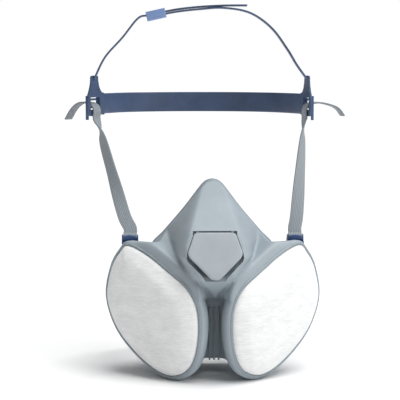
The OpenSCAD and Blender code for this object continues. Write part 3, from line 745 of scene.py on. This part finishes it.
# %% The recess round the shield
def hood_outline(grow):
    """The shield's outline: flat top, flared shoulders, blunt tip; across and up."""
    right = [[0, grow], [13.6 + grow, grow], [14.7 + grow, grow - 0.5], [15.2 + grow, -1.8],
             [17.3 + grow, -8.4], [19.1 + grow, -13.8], [19.3 + grow, -15.3], [18.9 + grow, -17.3],
             [17.6 + grow, -19.4], [5.2 + grow, -32.9 - grow * 0.7], [3.4 + grow * 0.6, -34.8 - grow],
             [1.4, -35.5 - grow], [0, -35.6 - grow]]
    return np.array(right + [[-x, y] for x, y in right[-2:0:-1]])


def shield_ring(grow, out):
    """The shield's outline as a ring in its plane, at a depth out of its face."""
    return [on_hood(x, up, out) for x, up in hood_outline(grow)]


SHIELD_GAP, FREE_ASIDE, FREE_BELOW = 0.45, 1.2, 1.9


def recess_ring(out):
    """Close round the shield at its top and sides, and wider under its free lower edges."""
    ring = hood_outline(SHIELD_GAP)
    free = np.clip((-ring[:, 1] - 15) / 3, 0, 1)[:, None]
    aside = np.sign(ring[:, 0]) * np.minimum(FREE_ASIDE, np.abs(ring[:, 0]) * 0.5)
    ring = ring + free * np.stack([aside, np.full(len(ring), -FREE_BELOW)], 1)
    return [on_hood(x, up, out) for x, up in ring]


recess = wrapped("recess", [recess_ring(-SEAT_FLOOR), recess_ring(9)])
HINGE = on_hood(0, 0.2, -1.8)
hinge_room = cylinder("hinge_room", HINGE, (1, 0, 0), 4.0, 31.6, 48)
tray_hollow_left = mirrored(tray_hollow, "tray_hollow_left")
cut(body, hollow, tray_hollow, tray_hollow_left, port, port_left, recess, hinge_room, seat_well, outlet)
print("body with its cavities:", triangles(body), "triangles")

# %% Ribs at the chin
ribs = []
for x in (-3.3, 0, 3.3):
    rib = [(x - 0.6, -46), (x - 0.6, -50.2), (x - 0.2, -50.7),
           (x + 0.2, -50.7), (x + 0.6, -50.2), (x + 0.6, -46)]
    ribs.append(wrapped("rib", [[(a, b, z) for a, b in rib] for z in (-43.6, -5)]))
body = joined("mask_body", *ribs, body)
smooth(body, 38)
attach(body, "facepiece")
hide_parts("body_shell", "right_filter_tray", "left_filter_tray")
print("body:", triangles(body), "triangles")

# %% [markdown]
# ## The sealing lip
#
# The lip that touches the face is the thinnest part of the moulding. It rolls inward from
# the cup's edge, so that breath pressure pushes it onto the skin. It is one closed ring of
# a rounded section, wrapped round the cup's outline.

# %% Face seal
def face_outline(share, back):
    """A ring of the cup's edge, drawn towards the middle of the cup by a share."""
    half = right_edge[::-1]
    ring = np.concatenate([half, half[-2:0:-1] * [-1, 1, 1]])
    out = ring.copy()
    out[:, 0] = ring[:, 0] * share
    out[:, 2] = 15 + (ring[:, 2] - 15) * share
    out[:, 1] = ring[:, 1] + back
    return out


LIP = [(0.956, 0.0), (0.985, -0.6), (1.0, 0.2), (1.012, 2.4), (1.008, 5.6), (0.985, 8.8), (0.94, 10.8),
       (0.875, 10.9), (0.80, 9.9), (0.79, 9.4), (0.80, 8.9), (0.88, 9.3), (0.93, 8.8), (0.962, 6.8),
       (0.97, 4.2), (0.965, 2.0)]
lip_section = spline(LIP, 2, closed=True)
seal = wrapped("face_lip", [face_outline(s, b) for s, b in lip_section], looped=True)
smooth(seal, 60)
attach(seal, "facepiece")
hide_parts("face_seal")
print("face lip:", triangles(seal), "triangles")

# %% [markdown]
# ## The edge round each pad
#
# A thin bead of the same elastomer clamps the pad's border. It is one bead section swept
# round the pad's outline, and a narrow gutter on its outer side separates it from the lobe.

# %% Pad edges
BEAD = [(-0.45, -2.4), (-0.5, 0.5), (-0.2, 1.0), (0.35, 1.25), (0.95, 1.1), (1.35, 0.6), (1.45, 0.0),
        (1.3, -0.8), (1.2, -2.4)]


def pad_bead(name):
    return wrapped(name, [filter_ring(pad_edge(g), o) for g, o in BEAD], looped=True)


right_bead = smooth(pad_bead("right_pad_edge"), 60)
left_bead = smooth(mirrored(right_bead, "left_pad_edge"), 60)
for bead, side in ((right_bead, "right"), (left_bead, "left")):
    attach(bead, "facepiece")
    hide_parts(side + "_filter_rim")
print("pad edge:", triangles(right_bead), "triangles")

# %% [markdown]
# ## The filter pads
#
# Each pad is a needled polyester felt, pressed to a pillow over the charcoal. Its border is
# pinched under the bead and rises steeply, and its face swells in one long, shallow dome.
# The pressed form is wrapped in rings from the border to the crown, and a short cloth
# simulation with air pressure then lets the face find its own soft swell.

# %% Pad form
PAD_DOME = [(0.0, -4.0), (0.0, 0.2), (0.25, 1.3), (0.9, 2.4), (2.0, 3.6), (3.6, 4.7), (6.0, 6.1),
            (9.5, 7.6), (14.0, 8.7), (20.0, 9.35), (27.0, 9.6), (34.0, 9.7)]
PAD_GAP = 0.62


def pad_form(name):
    """A closed pillow: a flat foot, a steep border, and rings that shrink to the crown."""
    foot = filter_ring(scaled_edge(-PAD_GAP - 2.4, 0.5), -4.2)
    rings = [foot * 0 + foot.mean(0), foot.mean(0) + (foot - foot.mean(0)) * 0.5, foot]
    for inset, out in spline(PAD_DOME, 2):
        near = filter_ring(pad_edge(-PAD_GAP - min(inset, 5)), out)
        centre = on_filter(-1.0, -1.0, out)
        rings.append(centre + (near - centre) * (1 - max(inset - 5, 0) / 40))
    last, middle = rings[-1], rings[-1].mean(0)
    for share, rise in ((0.7, 0.12), (0.4, 0.2), (0.15, 0.24), (0.0, 0.25)):
        rings.append(middle + (last - middle) * share + OUT * rise)
    return wrapped(name, rings, closed_ends=False)


# %% Swelling by a cloth simulation
def swell(pad, cap=1.1):
    """Lets air pressure fill the pad's face; no point moves further than the cap."""
    rest = np.array([v.co for v in pad.data.vertices])
    only(pad)
    bpy.ops.object.duplicate()
    puffed = bpy.context.object
    puffed.data.remesh_voxel_size = 4.5 * MM
    bpy.ops.object.voxel_remesh()
    before = np.array([v.co for v in puffed.data.vertices])
    cloth = puffed.modifiers.new("cloth", "CLOTH")
    cloth.settings.use_pressure = True
    cloth.settings.uniform_pressure_force = 4
    cloth.settings.effector_weights.gravity = 0
    scene = bpy.context.scene
    for f in range(1, 21):
        scene.frame_set(f)
    shape = puffed.evaluated_get(bpy.context.evaluated_depsgraph_get()).to_mesh()
    after = np.array([v.co for v in shape.vertices])
    scene.frame_set(1)
    step = after - before
    out = np.array(OUT)
    rise = step @ out
    move = np.empty(len(rest))
    for i, p in enumerate(rest):
        w = np.exp(-np.sum((before - p) ** 2, 1) / (2 * (5 * MM) ** 2))
        move[i] = (w @ rise) / (w.sum() + 1e-12)
    level = (rest - PAD_MIDDLE * MM) @ out / MM
    hold = np.clip((level - 2.0) / 5.0, 0, 1)
    move = np.clip(move - np.median(move[hold > 0.9]), -cap * MM, cap * MM) * hold
    pad.data.vertices.foreach_set("co", (rest + move[:, None] * out).ravel())
    pad.data.update()
    bpy.data.objects.remove(puffed)
    return float(np.abs(move).max() / MM)


# %% Pads
right_pad = pad_form("right_pad")
print("pad swelled by up to", round(swell(right_pad), 2), "mm")
finish_with(right_pad, "SUBSURF", levels=1, render_levels=1)
smooth(right_pad, 80)
left_pad = smooth(mirrored(right_pad, "left_pad"), 80)
for pad, side in ((right_pad, "right"), (left_pad, "left")):
    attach(pad, "facepiece")
    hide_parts(side + "_filter_pad")
print("pad:", triangles(right_pad), "triangles")

# %% [markdown]
# ## The valve shield
#
# The exhalation valve hides under a plain shield that hinges at its top edge. It is pressed
# from the same grey as the body, with a flat face, a fine bevel along its edges and a
# shallow roll into the body at the top. Its lower half hangs free, so breath and water
# leave there.

# %% Valve shield
shield = wrapped("valve_shield", [shield_ring(g, o) for g, o in (
    (-0.5, -1.9), (-0.12, -1.75), (0.0, -1.4), (0.0, -0.62), (-0.2, -0.25), (-0.62, -0.05), (-1.3, 0.0),
    (-4.0, 0.05))])
wall = wrapped("shield_wall", [shield_ring(-0.7, -1.6), shield_ring(-0.9, -5.0), shield_ring(-2.1, -5.0),
                               shield_ring(-2.3, -1.6)], looped=True)
lower = cylinder("lower", on_hood(0, -45, -3.5), HOOD_OUT, 56, 3.6, 48)
top_gap = cylinder("top_gap", on_hood(0, 1.6, -4.6), (1, 0, 0), 9.4, 26.5, 32)
cut(wall, lower, top_gap)
barrel = cylinder("barrel", on_hood(0, -0.2, -1.9), (1, 0, 0), 2.2, 22.6, 32)
pin = cylinder("pin", on_hood(0, 0.2, -1.8), (1, 0, 0), 1.6, 25.8, 32)
shield = joined("valve_shield", wall, barrel, pin, shield)
smooth(shield, 35)
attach(shield, "valve_hood")
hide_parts("valve_hood")
print("shield:", triangles(shield), "triangles")

# %% [markdown]
# ## Straps of one section
#
# A strap is a flat section led along a path. The path is a smooth curve through a few
# points, and a second list says which way the strap's width lies, so that it can twist
# from flat-on to edge-on as a real tape does between its hook and its buckle.

# %% Strap maker
def strap(name, route, turns, width, thick, steps=8):
    """A flat section led along a route; turns says at each point which way its width lies."""
    path = spline(route, steps)
    across = spline(turns, steps)
    along = np.gradient(path, axis=0)
    along /= np.linalg.norm(along, axis=1)[:, None]
    side = across - along * np.sum(across * along, 1)[:, None]
    side /= np.linalg.norm(side, axis=1)[:, None]
    face = np.cross(along, side)
    w, t = width / 2, thick / 2
    r = 0.7 * t
    half = [(-w, -0.3 * t), (-w, 0.3 * t), (-w + 0.3 * r, 0.8 * t), (-w + r, t), (-w * 0.45, t),
            (w * 0.45, t), (w - r, t), (w - 0.3 * r, 0.8 * t), (w, 0.3 * t), (w, -0.3 * t)]
    section = np.array(half + [(a, -b) for a, b in half[-3:1:-1]])
    rings = path[:, None] + side[:, None] * section[None, :, :1] + face[:, None] * section[None, :, 1:]
    gone = np.concatenate([[0], np.cumsum(np.linalg.norm(np.diff(path, axis=0), axis=1))])
    return wrapped(name, rings, lay=(section[:, 0], gone))


print("strap maker ready")

# %% [markdown]
# ## Strap hooks
#
# On each upper corner of the body sits a small blue hook. Two bars carry the head tape and
# the neck tape, a low curved cap guards the head tape's loop, and a pointed tab lets a
# gloved finger find it.

# %% Hooks
CLIP_AT = np.array([61.5315, -19.0429, 43.155])    # middle of the right hook's upper bar
NECK_BAR = np.array([0, 5.8, -5.0])                # from there to its lower bar
BAR_L = 11.8
CAP_THICK = 1.2
CAP_DROOP = 0.22                                   # how far the cap's top dips at its ends
TAPE_W, TAPE_T, BAR_D = 10.0, 1.2, 2.4
LOOP_MID = BAR_D / 2 + 0.3 + TAPE_T / 2


def slab(name, outline, place, bevel=0.3):
    """A plate of an outline; place turns (a, b, side) into a point, side is 0 or 1."""
    plate = wrapped(name, [[place(a, b, 0) for a, b in outline], [place(a, b, 1) for a, b in outline]])
    return finish_with(plate, "BEVEL", width=bevel * MM, segments=2, limit_method="ANGLE")


def hook():
    """The right-hand hook: cap, foot with its tab, two cheeks and two bars."""
    cap = []
    for deg, half, reach in ((250, 6.1, 5.2), (235, 6.1, 4.9), (215, 6.0, 4.6), (195, 5.9, 4.4),
                             (176, 5.8, 4.3), (162, 5.7, 4.2), (156, 5.5, 4.0)):
        ring = []
        for x in np.linspace(-1, 1, 9):
            dip = 0.25 * x * x
            a = math.radians(deg + CAP_DROOP * x * x * (250 - deg))
            ring.append([x * half, (reach - dip) * math.cos(a), (reach - dip) * math.sin(a)])
        for x in np.linspace(1, -1, 9):
            a = math.radians(deg + CAP_DROOP * x * x * (250 - deg))
            inner = reach - CAP_THICK
            ring.append([x * half, inner * math.cos(a), inner * math.sin(a)])
        cap.append(np.array(ring) + CLIP_AT)
    parts = [wrapped("cap", cap)]
    low = CLIP_AT + [0, 0, -4.6]
    foot = [(-6.1, -7), (6.1, -7), (6.1, 2.7), (-6.1, 2.7), (-6.1, -1.2), (-9.4, -2.6),
            (-12.2, -5.2), (-11.9, -5.9)]
    parts.append(slab("foot", foot, lambda a, b, s: low + [a, b, 1.3 * s]))
    cheek = [(-2.6, -4.4), (-2.0, 0.4), (-0.8, 1.5), (0.9, 1.6), (7.4, -3.4), (7.7, -5.6),
             (6.4, -6.9), (4.8, -6.9), (2.7, -4.6)]
    for x in (-6.1, 5.2):
        parts.append(slab("cheek", cheek, lambda a, b, s: CLIP_AT + [x + 0.9 * s, a, b], 0.2))
    parts.append(cylinder("bar", CLIP_AT, (1, 0, 0), BAR_D, BAR_L, 32))
    parts.append(cylinder("bar", CLIP_AT + NECK_BAR, (1, 0, 0), BAR_D, BAR_L, 32))
    return smooth(joined("right_strap_hook", *parts[::-1]), 40)


right_hook = hook()
left_hook = smooth(mirrored(right_hook, "left_strap_hook"), 40)
for piece, side in ((right_hook, "right"), (left_hook, "left")):
    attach(piece, "facepiece")
    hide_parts(side + "_strap_clip")
print("hook:", triangles(right_hook), "triangles")

# %% [markdown]
# ## The harness: head band with its end plates
#
# The band behind the head is moulded in one with two end plates, whose tops run out into
# the crown straps. The band is a strap, the plates are cut from an outline, and a voxel
# remesh melts the three, as one shot of elastomer does. The slots are cut last.

# %% End plates
BAND_Z, BAND_T, PLATE_L = 140.0, 1.8, 20.0
PLATES = {"right": ((75.5, 14.0), math.radians(102.5)), "left": ((-94.0, 22.0), math.radians(60.9))}


def on_plate(side, back, out, up):
    """A point of an end plate: back along it, out from its inner face, and up."""
    (x, y), a = PLATES[side]
    sign = 1 if side == "right" else -1
    return np.array([x + back * math.cos(a) + sign * out * math.sin(a),
                     y + back * math.sin(a) - sign * out * math.cos(a), BAND_Z + up])


PLATE_EDGE = [(0.3, -7.6), (0, -3), (0, 3), (0.9, 7.0), (2.7, 10.6), (4.3, 14.5), (5.2, 18.6), (5.7, 21.6),
              (10.1, 22.0), (14.5, 21.6), (15.0, 18.4), (16.0, 14.4), (18.0, 11.0), (21.0, 8.8), (24.0, 8.0),
              (24.0, 0), (24.0, -8.0), (20.0, -8.3), (15.0, -9.0), (8.0, -9.3), (2.4, -8.9)]
plate_outline = spline(PLATE_EDGE, 3, closed=True)


def end_plate(side):
    return wrapped(side + "_plate", [[on_plate(side, a, m, b) for a, b in plate_outline]
                                     for m in (0, BAND_T / 2, BAND_T)])


band_route = [on_plate("left", 17, 0.9, 0), on_plate("left", 20, 0.9, 0), (-80, 58, 140), (-63, 84, 140),
              (-33, 98.5, 140), (-5, 101, 140), (23, 96, 140), (47, 80, 140), (63, 56, 140),
              on_plate("right", 20, 0.9, 0), on_plate("right", 17, 0.9, 0)]
# %% Head band
band = strap("head_harness", band_route, [(0, 0, 1.0)] * len(band_route), 16, BAND_T, steps=10)
band = joined("head_harness", end_plate("right"), end_plate("left"), band)
band.data.remesh_voxel_size = 0.5 * MM
only(band)
bpy.ops.object.voxel_remesh()
finish_with(band, "SMOOTH", factor=0.5, iterations=5)
for side in PLATES:
    slot = [(3.5, -4.2), (16.5, -4.2), (16.5, 5.2), (3.5, 5.2)]
    cut(band, wrapped("slot", [[on_plate(side, a, m, b) for a, b in slot] for m in (-3, 5)]))
smooth(band, 40)
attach(band, "harness")
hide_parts("head_band")
print("band:", triangles(band), "triangles")

# %% Crown straps
CROWN_W, CROWN_T = 9.0, 1.3
CROWN_OVER = CROWN_T + 0.5
LOOP_AT = np.array([-42, 30, 209.4])
left_route = [on_plate("left", 10, 0.9, 19), (-81.5, 32.5, 176), (-68, 31, 191), (-56, 30, 205.6),
              LOOP_AT + [-6, 0, -1.3], LOOP_AT + [6, 0, 1.35], (-24, 30, 212.9), (-8, 30, 214.6),
              (10, 29, 215.5), (28, 28, 215.6)]
right_route = [on_plate("right", 10, 0.9, 19), (66, 22.5, 170), (58.5, 25, 182.5), (46.5, 27.5, 198.6),
               (30, 28.5, 210), (10, 29, 215.5 - CROWN_OVER), (-8, 30, 214.6 - CROWN_OVER),
               (-24, 30, 212.9 - CROWN_OVER), LOOP_AT + [6, 0, 1.35 - CROWN_OVER],
               LOOP_AT + [-4, 0, -0.9 - CROWN_OVER]]
crown_left = strap("crown_strap_left_side", left_route, [(0, 1.0, 0)] * 10, CROWN_W, CROWN_T, steps=10)
for x in (22, 12, 2):
    cut(crown_left, cylinder("hole", (x, 29, 215), (0, 0, 1), 3, 12, 24))
crown_right = strap("crown_strap_right_side", right_route, [(0, 1.0, 0)] * 10, CROWN_W, CROWN_T, steps=10)
for piece, node in ((crown_left, "crown_strap_left"), (crown_right, "crown_strap_right")):
    smooth(piece, 40)
    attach(piece, "harness")
    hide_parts(node)
print("crown straps:", triangles(crown_left), "and", triangles(crown_right), "triangles")

# %% [markdown]
# ## Buckles, sliding loop and clasp
#
# These small mouldings already have their true shape in the frame, with sharp edges. A
# copy of each is merged, its flat faces are joined up, and a fine bevel rounds the edges
# as a mould does, so that they catch the light.

# %% Small mouldings
def rounded_copy(node, name, bevel=0.3, segments=3):
    source = frame["nodes"][node]
    piece = bpy.data.objects.new(name, source.data.copy())
    bpy.context.scene.collection.objects.link(piece)
    piece.data.name = name

    def clean():
        bpy.ops.mesh.remove_doubles(threshold=2e-6)
        bpy.ops.mesh.dissolve_limited(angle_limit=math.radians(2))

    in_edit(piece, clean)
    finish_with(piece, "BEVEL", width=bevel * MM, segments=segments, limit_method="ANGLE",
                angle_limit=math.radians(35))
    smooth(piece, 40)
    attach(piece, source["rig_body"])
    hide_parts(node)
    return piece


right_buckle = rounded_copy("right_ladder_buckle", "right_tape_buckle", 0.3)
left_buckle = rounded_copy("left_ladder_buckle", "left_tape_buckle", 0.3)
loop = rounded_copy("crown_loop", "crown_slide", 0.35)
socket = rounded_copy("neck_clasp_socket", "clasp_socket", 0.5)
tongue = rounded_copy("neck_clasp_tongue", "clasp_tongue", 0.5)
for piece, slot_name in ((right_buckle, "clip_blue"), (left_buckle, "clip_blue"), (loop, "clip_blue"),
                         (socket, "clasp"), (tongue, "clasp")):
    print(piece.name, triangles(piece), "triangles")

# %% [markdown]
# ## The tapes
#
# The tapes are woven elastic. Each head tape loops round its hook's bar, rises to the end
# plate and turns through the slot, and its free end hangs down. The neck tapes loop round
# the lower bars and meet in the clasp. They are straps with their weave laid out along
# them, across and along in millimetres.

# %% Tapes
def tape_loop(name, middle):
    """The closed turn of a tape round a bar."""
    ring = []
    for a in np.linspace(0, 2 * math.pi, 29)[:-1]:
        ring.append(middle + np.array([0, math.cos(a), math.sin(a)]) * 1.0)
    ring = np.array(ring)
    w, t = TAPE_W / 2, TAPE_T / 2
    section = [(-w, 0), (-w + 0.3, t), (w - 0.3, t), (w, 0), (w - 0.3, -t), (-w + 0.3, -t)]
    rings = [[middle + np.array([a, 0, 0]) + (p - middle) * (LOOP_MID + b) for a, b in section] for p in ring]
    lay = (np.array([a for a, b in section]), np.arange(len(ring)) * LOOP_MID * 2 * math.pi / len(ring))
    return wrapped(name, rings, looped=True, lay=lay)


def head_tape(side):
    """Up from the hook's bar, through the end plate's slot and over its outside, tail down."""
    sign = 1 if side == "right" else -1
    bar = CLIP_AT * [sign, 1, 1]
    under = on_plate(side, PLATE_L / 2, -1.3, -12)
    rise = np.array([0, under[1] - bar[1], under[2] - bar[2]])
    rise /= np.linalg.norm(rise)
    drop = {"right": (24, -2.5, 30, -9), "left": (19, -3.5, 25, -12)}[side]
    route = [bar + rise * 2.3, bar + rise * 7, bar * 0.82 + under * 0.18, bar * 0.5 + under * 0.5,
             bar * 0.15 + under * 0.85, under, on_plate(side, 10, -1.3, -5), on_plate(side, 10, 0.4, -0.9),
             on_plate(side, 10, 4, 0.7), on_plate(side, 10, 12, 1), on_plate(side, 10, drop[0], drop[1]),
             on_plate(side, 10, drop[2], drop[3])]
    a = PLATES[side][1]
    along = np.array([math.cos(a), math.sin(a), 0]) * (1 if side == "right" else -1)
    late = {"right": 0.62, "left": 0.52}[side]
    shares = (0, 0, 0.1, 0.4, late) + (1,) * 7
    turns = [np.array([1.0, 0, 0]) * (1 - t) + along * t for t in shares]
    tape = strap(side + "_head_tape", route, turns, TAPE_W, TAPE_T, steps=9)
    return joined(side + "_head_tape", tape_loop("loop", bar), tape)


def neck_tape():
    """Down from the right hook's lower bar, and round behind the neck to the clasp."""
    start = CLIP_AT + NECK_BAR
    clasp = np.array([0, 58, -38.0])
    route = [start + [0, 0, -2.3], start + [1.5, 0.6, -6], (72, start[1] + 3, 23), (77, -5, 8),
             (77.5, 5, -7), (69, 24, -21), (49, 43, -31), clasp + [29, -2, 1], clasp + [23.5, 0, 0],
             clasp + [20, 0, 0]]
    turns = [(1, 0, 0), (1, 0.1, 0), (0.6, 0.9, 0.2), (0.2, 1, 0.3), (0, 0.8, 0.7), (0, 0.3, 1),
             (0, 0, 1), (0, 0, 1), (0, 0, 1), (0, 0, 1)]
    tape = strap("right_neck_tape", route, turns, TAPE_W, TAPE_T, steps=9)
    return joined("right_neck_tape", tape_loop("loop", start), tape)


right_tape, left_tape = head_tape("right"), head_tape("left")
right_neck = neck_tape()
left_neck = mirrored(right_neck, "left_neck_tape")
for piece, body_name, node in ((right_tape, "harness", "right_webbing"),
                               (left_tape, "harness", "left_webbing"),
                               (right_neck, "neck_strap", "right_neck_webbing"),
                               (left_neck, "neck_strap", "left_neck_webbing")):
    smooth(piece, 60)
    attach(piece, body_name)
    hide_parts(node)
print("head tape:", triangles(right_tape), "triangles")

# %% [markdown]
# ## Dressing
#
# Every new piece now gets its finish. The slide at the crown is of a paler blue than the
# buckles, because light comes through its thin walls.

# %% Dress the pieces
dress(body_finish, body)
dress(lip_finish, seal)
dress(edge_finish, right_bead, left_bead)
dress(shield_finish, shield)
dress(pad_finish, right_pad, left_pad)
dress(harness_finish, band, crown_left, crown_right)
dress(blue_finish, right_hook, left_hook, right_buckle, left_buckle)
dress(slide_finish, loop)
dress(clasp_finish, socket, tongue)
dress(tape_finish, right_tape, left_tape, right_neck, left_neck)

# %% [markdown]
# ## Floor
#
# The mask stands on white paper in a white studio. The sheet is so large that its edge
# meets the white behind it, and only the soft shadow under the lobes shows where it lies.

# %% Floor
FLOOR_DROP = 0.0002                # so that the lobes and the paper don't share a plane
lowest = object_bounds()[0][2]
bpy.ops.object.select_all(action="DESELECT")
bpy.ops.mesh.primitive_plane_add(size=30, location=(0, 0, lowest - FLOOR_DROP))
floor = bpy.context.object
floor.name = "floor"
bpy.ops.object.transform_apply()
paper = bpy.data.materials.new("white paper")
paper.use_nodes = True
paper_shader = paper.node_tree.nodes["Principled BSDF"]
paper_shader.inputs["Base Color"].default_value = linear("#f3f3f3")
paper_shader.inputs["Roughness"].default_value = 0.9
floor.data.materials.append(paper)
print("floor at", round(floor.data.vertices[0].co.z / MM, 1), "mm")

# %% [markdown]
# ## Light
#
# Three lights make a catalogue picture. A dim white surround fills the shadows. A broad
# overhead light, soft as a studio's ceiling, whitens the paper and leaves the grey pool
# under the mask. A softbox in front and to the right models the pads and the nose. The
# camera sees the surround as pure white, whatever its strength as a light is.

# %% Lights
AMBIENT, SEEN = 0.30, 1.0
surround = bpy.data.worlds.new("studio")
bpy.context.scene.world = surround
surround.use_nodes = True
sky = surround.node_tree
rays = add_node(sky, "ShaderNodeLightPath")
backdrop = sky.nodes["Background"]
backdrop.inputs["Color"].default_value = (1, 1, 1, 1)
sky.links.new(spread(sky, rays.outputs["Is Camera Ray"], 0, 1, AMBIENT, SEEN), backdrop.inputs["Strength"])


def lamp(name, kind, energy, at, towards):
    light = bpy.data.objects.new(name, bpy.data.lights.new(name, kind))
    light.data.energy = energy
    light.location = at
    light.rotation_euler = (Vector(towards) - Vector(at)).to_track_quat("-Z", "Y").to_euler()
    bpy.context.scene.collection.objects.link(light)
    return light.data


lamp("softbox", "AREA", 7.5, (1.1, -0.85, 0.75), (0, -0.03, 0)).size = 0.6
lamp("ceiling", "SUN", 2.95, (0.28, -0.02, 1.0), (0, 0, 0)).angle = math.radians(50)
print("lights:", [light.name for light in bpy.data.lights])
